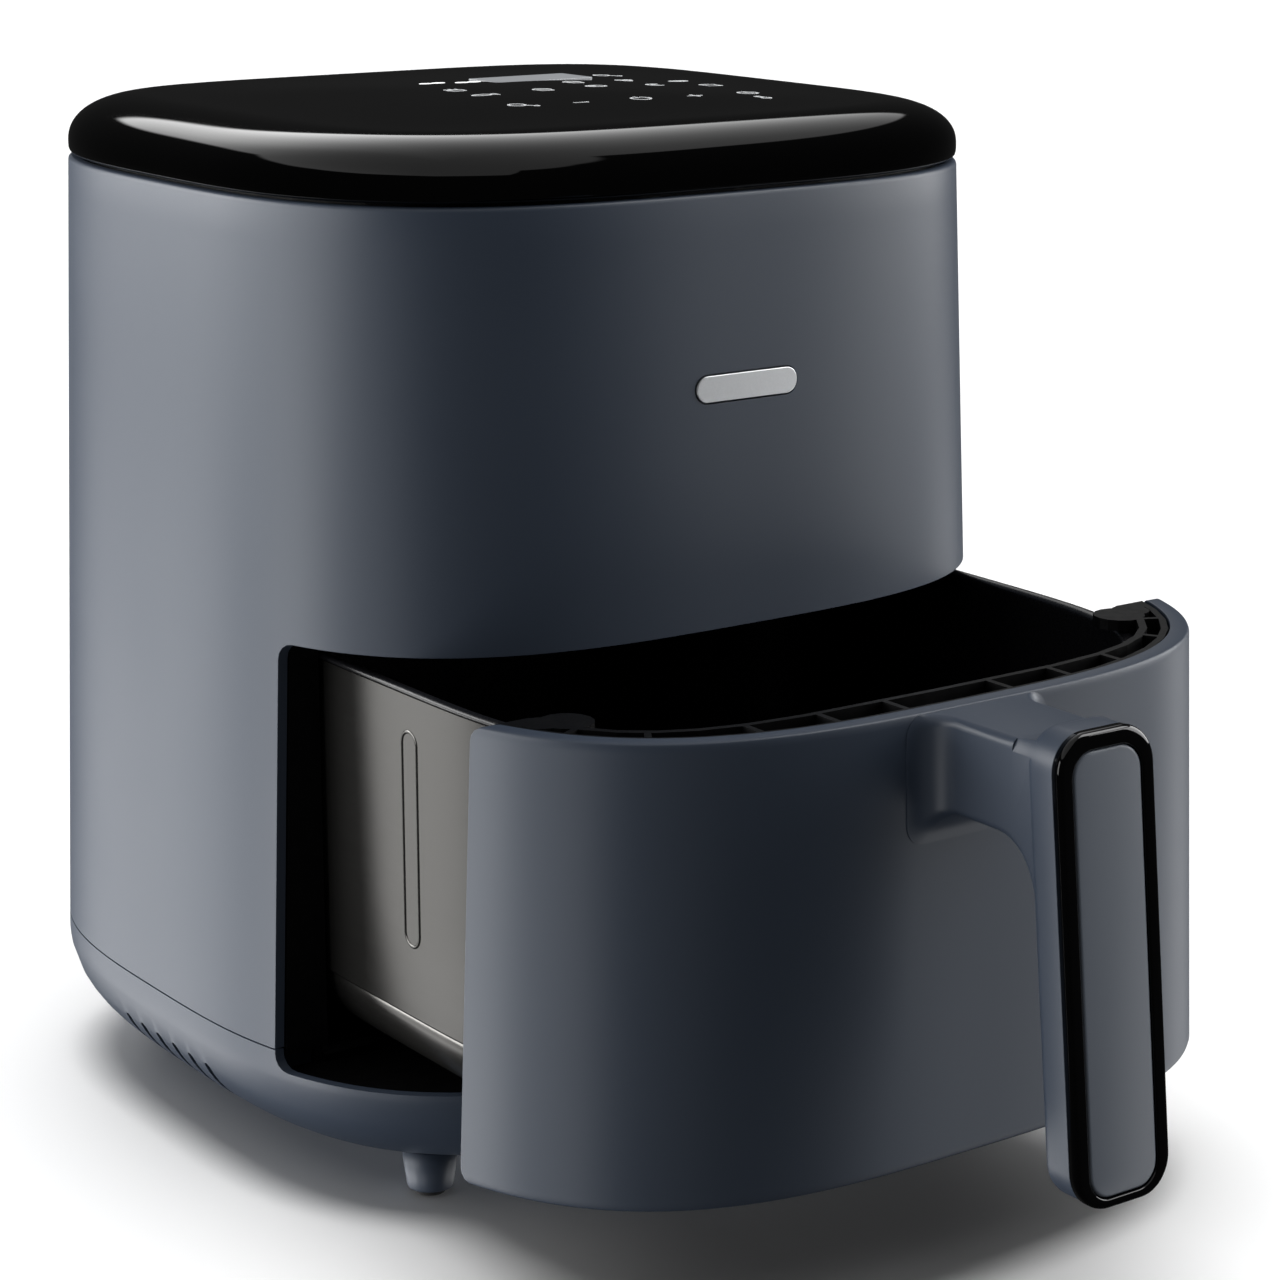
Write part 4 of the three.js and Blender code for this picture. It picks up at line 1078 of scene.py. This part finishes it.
# %% Geometry Nodes tree for louvres, and the grille
louvre_tree, given = new_tree("louvres", {
    "Blades": 7, "Pitch": (0.0, 0.0, 0.006), "First": (0.0, 0.0, 0.0), "Tilt": (0.0, 0.0, 0.0),
    "Size": (0.1, 0.1, 0.1)})
blade = node(louvre_tree, "GeometryNodeMeshCube", {}, {"Size": given["Size"]})
tilted = node(louvre_tree, "GeometryNodeTransform", {}, {"Geometry": blade, "Rotation": given["Tilt"]})
line = node(louvre_tree, "GeometryNodeMeshLine", {"mode": "OFFSET"},
            {"Count": given["Blades"], "Start Location": given["First"], "Offset": given["Pitch"]})
blades = node(louvre_tree, "GeometryNodeInstanceOnPoints", {}, {"Points": line, "Instance": tilted})
both = node(louvre_tree, "GeometryNodeJoinGeometry")
louvre_tree.links.new(given["Geometry"], both.inputs[0])
louvre_tree.links.new(blades.outputs[0], both.inputs[0])
end_tree(louvre_tree, given, both)
low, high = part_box("exhaust_grille")
y0, y1 = low.y / MM, high.y / MM
outlet_outside = round_rect(91.6, 47.6, 2.6, 0, OUTLET_Z)
outlet_inside = round_rect(80, 40.6, 1.6, 0, OUTLET_Z)
grille_frame = ring_of("grille_frame", outlet_outside, outlet_inside, [
    (0, y0), (0, y1 - 0.8), (0.05, y1 - 0.25), (0.2, y1), (0.85, y1), (0.96, y1 - 0.3), (1, y1 - 0.9),
    (1, y0)])
grille = grown("outlet_grille", grille_frame.data, louvre_tree, {
    "Blades": 7, "Pitch": (0, 0, 5.9 * MM), "First": (0, (low.y + high.y) / 2, (OUTLET_Z - 17.7) * MM),
    "Tilt": (math.radians(32), 0, 0), "Size": (82 * MM, 4.2 * MM, 1.5 * MM), "Material": black_grained})
bpy.data.objects.remove(grille_frame)
placed(rounded(grille, 0.3, 50, 2), "housing", ["exhaust_grille"], black_grained)

# %% [markdown]
# ## Screws
# Four screws hold the base. Each has a domed head with a cross recess. One screw is made, and the same tree
# that placed the feet places it.

# %% Base screws
head = lathe("screw_shape", [(0, 8.1), (2.2, 8.2), (3.1, 8.55), (3.6, 9.2), (3.6, 9.7), (1.7, 9.72),
                             (1.7, 20.9), (0, 21)], 28)
cut(head, prism("cross_long", round_rect(3.4, 0.8, 0.1), 7, 1.9),
    prism("cross_short", round_rect(0.8, 3.4, 0.1), 7, 1.9))
screws = at_corners("base_screws", head, 120, 110, zinc)
placed(rounded(screws, 0.08, 50, 1), "housing",
       four("base_screw"), zinc)

# %% [markdown]
# ## Parts that keep their own shape
# The parts inside keep the mesh of the engineering model and only take a finish.

# %% Finishes for the other parts
CARRIED = {
    black_grained: ["joint_ring", "cavity_liner", "front_liner", "cooling_fan", "thermostat", "switch_body",
                    "cord_gland"],
    rolled_steel: ["air_chamber", "hot_fan", "motor_shaft", "motor", "motor_bracket", "exhaust_duct"],
    heated_alloy: ["heating_coil"],
    anodised: ["pan_runner_left", "pan_runner_right", "switch_plunger"],
    rubber: four("grill_bumper"),
    solder_mask: ["power_board", "control_board"],
    zinc: ["handle_screw_left", "handle_screw_right"],
}
for material, names in CARRIED.items():
    for name in names:
        mesh = cad[name].data
        mesh.materials.clear()
        mesh.materials.append(material)
print("carried parts:", sum(map(len, CARRIED.values())))

# %% [markdown]
# ## Floor
# The floor is a plain pale sweep. It shows the soft contact shadow under the base. It doesn't light the
# object from below, because in a studio dark cards near the product keep the lower surfaces deep.

# %% Floor
floor_paint = finish("matt_white_painted_board", "#f2f2f2", "#f4f4f4", 200, 0.9, 0.02, IOR=1.45,
                     Emission_Color=(1, 1, 1, 1), Emission_Strength=0.02)
floor = solid("floor", lambda work: bmesh.ops.create_circle(work, cap_ends=True, segments=96, radius=9.0),
              floor_paint)
for vertex in floor.data.vertices:
    vertex.co.z = -0.0002
if floor.data.polygons[0].normal.z < 0:
    floor.data.flip_normals()
floor.visible_diffuse = False
floor.visible_glossy = False
floor.visible_shadow = False
print("floor ready")

# %% [markdown]
# ## Light
# A wide canopy of soft light hangs over and behind the object, brightest at its low back edge, and its
# light comes down the left side. The glossy lid shows exactly how bright the canopy is in every direction,
# so it is written as a table of directions. It is the world's light, and the camera itself sees plain
# white.

# %% Canopy
world = bpy.data.worlds.new("studio_canopy")
bpy.context.scene.world = world
world.use_nodes = True
tree = world.node_tree
tree.nodes.clear()


def curve(tree, value, points):
    """A float curve through (input, output) points, both from 0 to 1."""
    made = node(tree, "ShaderNodeFloatCurve", {}, {"Value": value})
    line = made.mapping.curves[0]
    while len(line.points) < len(points):
        line.points.new(0.5, 0.5)
    for point, (x, y) in zip(line.points, points):
        point.location = (x, y)
        point.handle_type = "VECTOR"
    made.mapping.update()
    return made


place = node(tree, "ShaderNodeTexCoord")
way = node(tree, "ShaderNodeSeparateXYZ", {}, {0: place.outputs["Generated"]}).outputs
back_y = node(tree, "ShaderNodeMath", {"operation": "MULTIPLY"}, {0: way[1], 1: -1.0})
azimuth = node(tree, "ShaderNodeMath", {"operation": "ARCTAN2"}, {0: way[0], 1: back_y})
turn = node(tree, "ShaderNodeMath", {"operation": "MULTIPLY_ADD"}, {0: azimuth, 1: 0.5 / math.pi, 2: 0.5})
rise = node(tree, "ShaderNodeMath", {"operation": "ARCSINE"}, {0: way[2]})
rise = node(tree, "ShaderNodeMath", {"operation": "MULTIPLY"}, {0: rise, 1: 180 / math.pi})
# Strengths of the dome, its bright low edge and the dark room, and how the edge fades upwards in degrees.
DOME_LIGHT, EDGE_LIGHT, ROOM_LIGHT, FALL_FROM, FALL = 0.4, 2.1, 0.02, 25, 16
# The dome's lower edge in degrees, and the share of the edge's light, by direction from -180 to 180 degrees.
EDGES = [(-180, 31), (-170, 37), (-150, 39), (-121, 40), (-83, 38), (-40, 38), (0, 45), (15, 58), (60, 62),
         (100, 60), (120, 36), (130, 23), (150, 21.5), (168, 22), (180, 31)]
SHARES = [(-180, 0.4), (-165, 0.22), (-120, 0.35), (-83, 0.25), (-50, 0.05), (0, 0), (60, 0), (120, 0),
          (132, 0.2), (145, 0.6), (158, 1), (170, 0.85), (180, 0.4)]
edge = curve(tree, turn, [((a + 180) / 360, e / 90) for a, e in EDGES])
share = curve(tree, turn, [((a + 180) / 360, s) for a, s in SHARES])
over = node(tree, "ShaderNodeMath", {"operation": "MULTIPLY_ADD"}, {0: edge, 1: -90.0, 2: rise})
mask = node(tree, "ShaderNodeMapRange", {"interpolation_type": "SMOOTHSTEP"},
            {"Value": over, "From Min": -0.8, "From Max": 0.8, "To Min": 0.0, "To Max": 1.0})
fall = node(tree, "ShaderNodeMath", {"operation": "MULTIPLY_ADD"},
            {0: rise, 1: -1 / FALL, 2: FALL_FROM / FALL})
fade = node(tree, "ShaderNodeMath", {"operation": "EXPONENT"}, {0: fall})
strong = node(tree, "ShaderNodeMath", {"operation": "MULTIPLY"}, {0: fade, 1: share})
level = node(tree, "ShaderNodeMath", {"operation": "MULTIPLY_ADD"}, {0: strong, 1: EDGE_LIGHT, 2: DOME_LIGHT})
canopy = node(tree, "ShaderNodeMath", {"operation": "MULTIPLY"}, {0: level, 1: mask})
ambient = node(tree, "ShaderNodeMath", {"operation": "ADD"}, {0: canopy, 1: ROOM_LIGHT})
light = node(tree, "ShaderNodeBackground", {}, {"Color": (1, 1, 1, 1), "Strength": ambient})
white = node(tree, "ShaderNodeBackground", {}, {"Color": (1, 1, 1, 1), "Strength": 1.0})
seen = node(tree, "ShaderNodeMixShader", {}, {
    0: node(tree, "ShaderNodeLightPath").outputs["Is Camera Ray"], 1: light, 2: white})
node(tree, "ShaderNodeOutputWorld", {}, {"Surface": seen})
print("canopy ready")

# %% [markdown]
# A row of soft boxes shapes the satin parts. They stand at the left and behind, and at the right, and a few
# lie low to act as pale boards. The front stays dark, so the broad front face sinks into shadow between two
# lit sides. Light linking keeps the boxes off the mirror-like lid and off the floor, as flags would do in a
# studio. The left and low ones also stay off the handle's glossy frame, and the low ones off the pan, which
# has a board of its own.

# %% Soft boxes
def linked(name, pieces, state):
    """A collection that a light uses to take in, or to leave out, some pieces."""
    group = bpy.data.collections.new(name)
    for piece in pieces:
        group.objects.link(piece)
    for entry in group.collection_objects:
        entry.light_linking.link_state = state
    return group


LIT_MIDDLE, BOX_DISTANCE = Vector((0, 0.03, 0.15)), 1.8


def soft_box(name, azimuth, elevation, width, height, radiance, group):
    """An area light that looks at the object from a direction, 0 degrees being the front and 90 the right."""
    a, e = math.radians(azimuth), math.radians(elevation)
    lamp = bpy.data.lights.new(name, "AREA")
    lamp.shape = "RECTANGLE"
    lamp.size, lamp.size_y = width, height
    lamp.energy = radiance * width * height * math.pi
    made = bpy.data.objects.new(name, lamp)
    bpy.context.scene.collection.objects.link(made)
    way = Vector((math.sin(a) * math.cos(e), -math.cos(a) * math.cos(e), math.sin(e)))
    made.location = LIT_MIDDLE + BOX_DISTANCE * way
    made.rotation_mode = "QUATERNION"
    made.rotation_quaternion = (-way).to_track_quat("-Z", "Y")
    made.visible_camera = False
    made.light_linking.receiver_collection = group


BOXES = {"left_back": (-145, 15, 6.4), "left": (-120, 15, 4.3), "left_front": (-95, 15, 2.9),
         "right_front": (55, 15, 4.0), "right": (80, 15, 4.8), "high_right": (60, 50, 5.0),
         "low_left_back": (-150, -22, 3.5), "low_left": (-110, -22, 5.8), "low_left_front": (-70, -22, 1.7),
         "low_front": (-25, -22, 0.2), "low_right_front": (50, -22, 1.8), "low_right": (90, -22, 1.6)}
off_glossy = linked("kept_off_boxes", (lid, floor), "EXCLUDE")
off_left = linked("kept_off_left_boxes", (lid, floor, handle_frame), "EXCLUDE")
off_low = linked("kept_off_low_boxes", (lid, floor, handle_frame, pan_jacket), "EXCLUDE")
for title, (azimuth, elevation, radiance) in BOXES.items():
    group = off_low if elevation < 0 else off_left if azimuth < -100 else off_glossy
    soft_box(title + "_box", azimuth, elevation, 0.8, 1.0, radiance, group)
soft_box("pan_board", -152, -18, 1.1, 1.0, 1.3, linked("pan_only", (pan_jacket,), "INCLUDE"))
print("soft boxes:", len(BOXES) + 1)

# %% [markdown]
# The floor has a light of its own, a broad sky straight above. It makes the floor evenly white everywhere
# and leaves a soft shadow where the object keeps that light out.

# %% Floor light
sky = bpy.data.objects.new("floor_light", bpy.data.lights.new("floor_light", "SUN"))
bpy.context.scene.collection.objects.link(sky)
sky.data.angle = math.radians(42)
sky.data.energy = 3.2
sky.light_linking.receiver_collection = linked("floor_only", (floor,), "INCLUDE")
bpy.context.scene.view_settings.view_transform = "Standard"
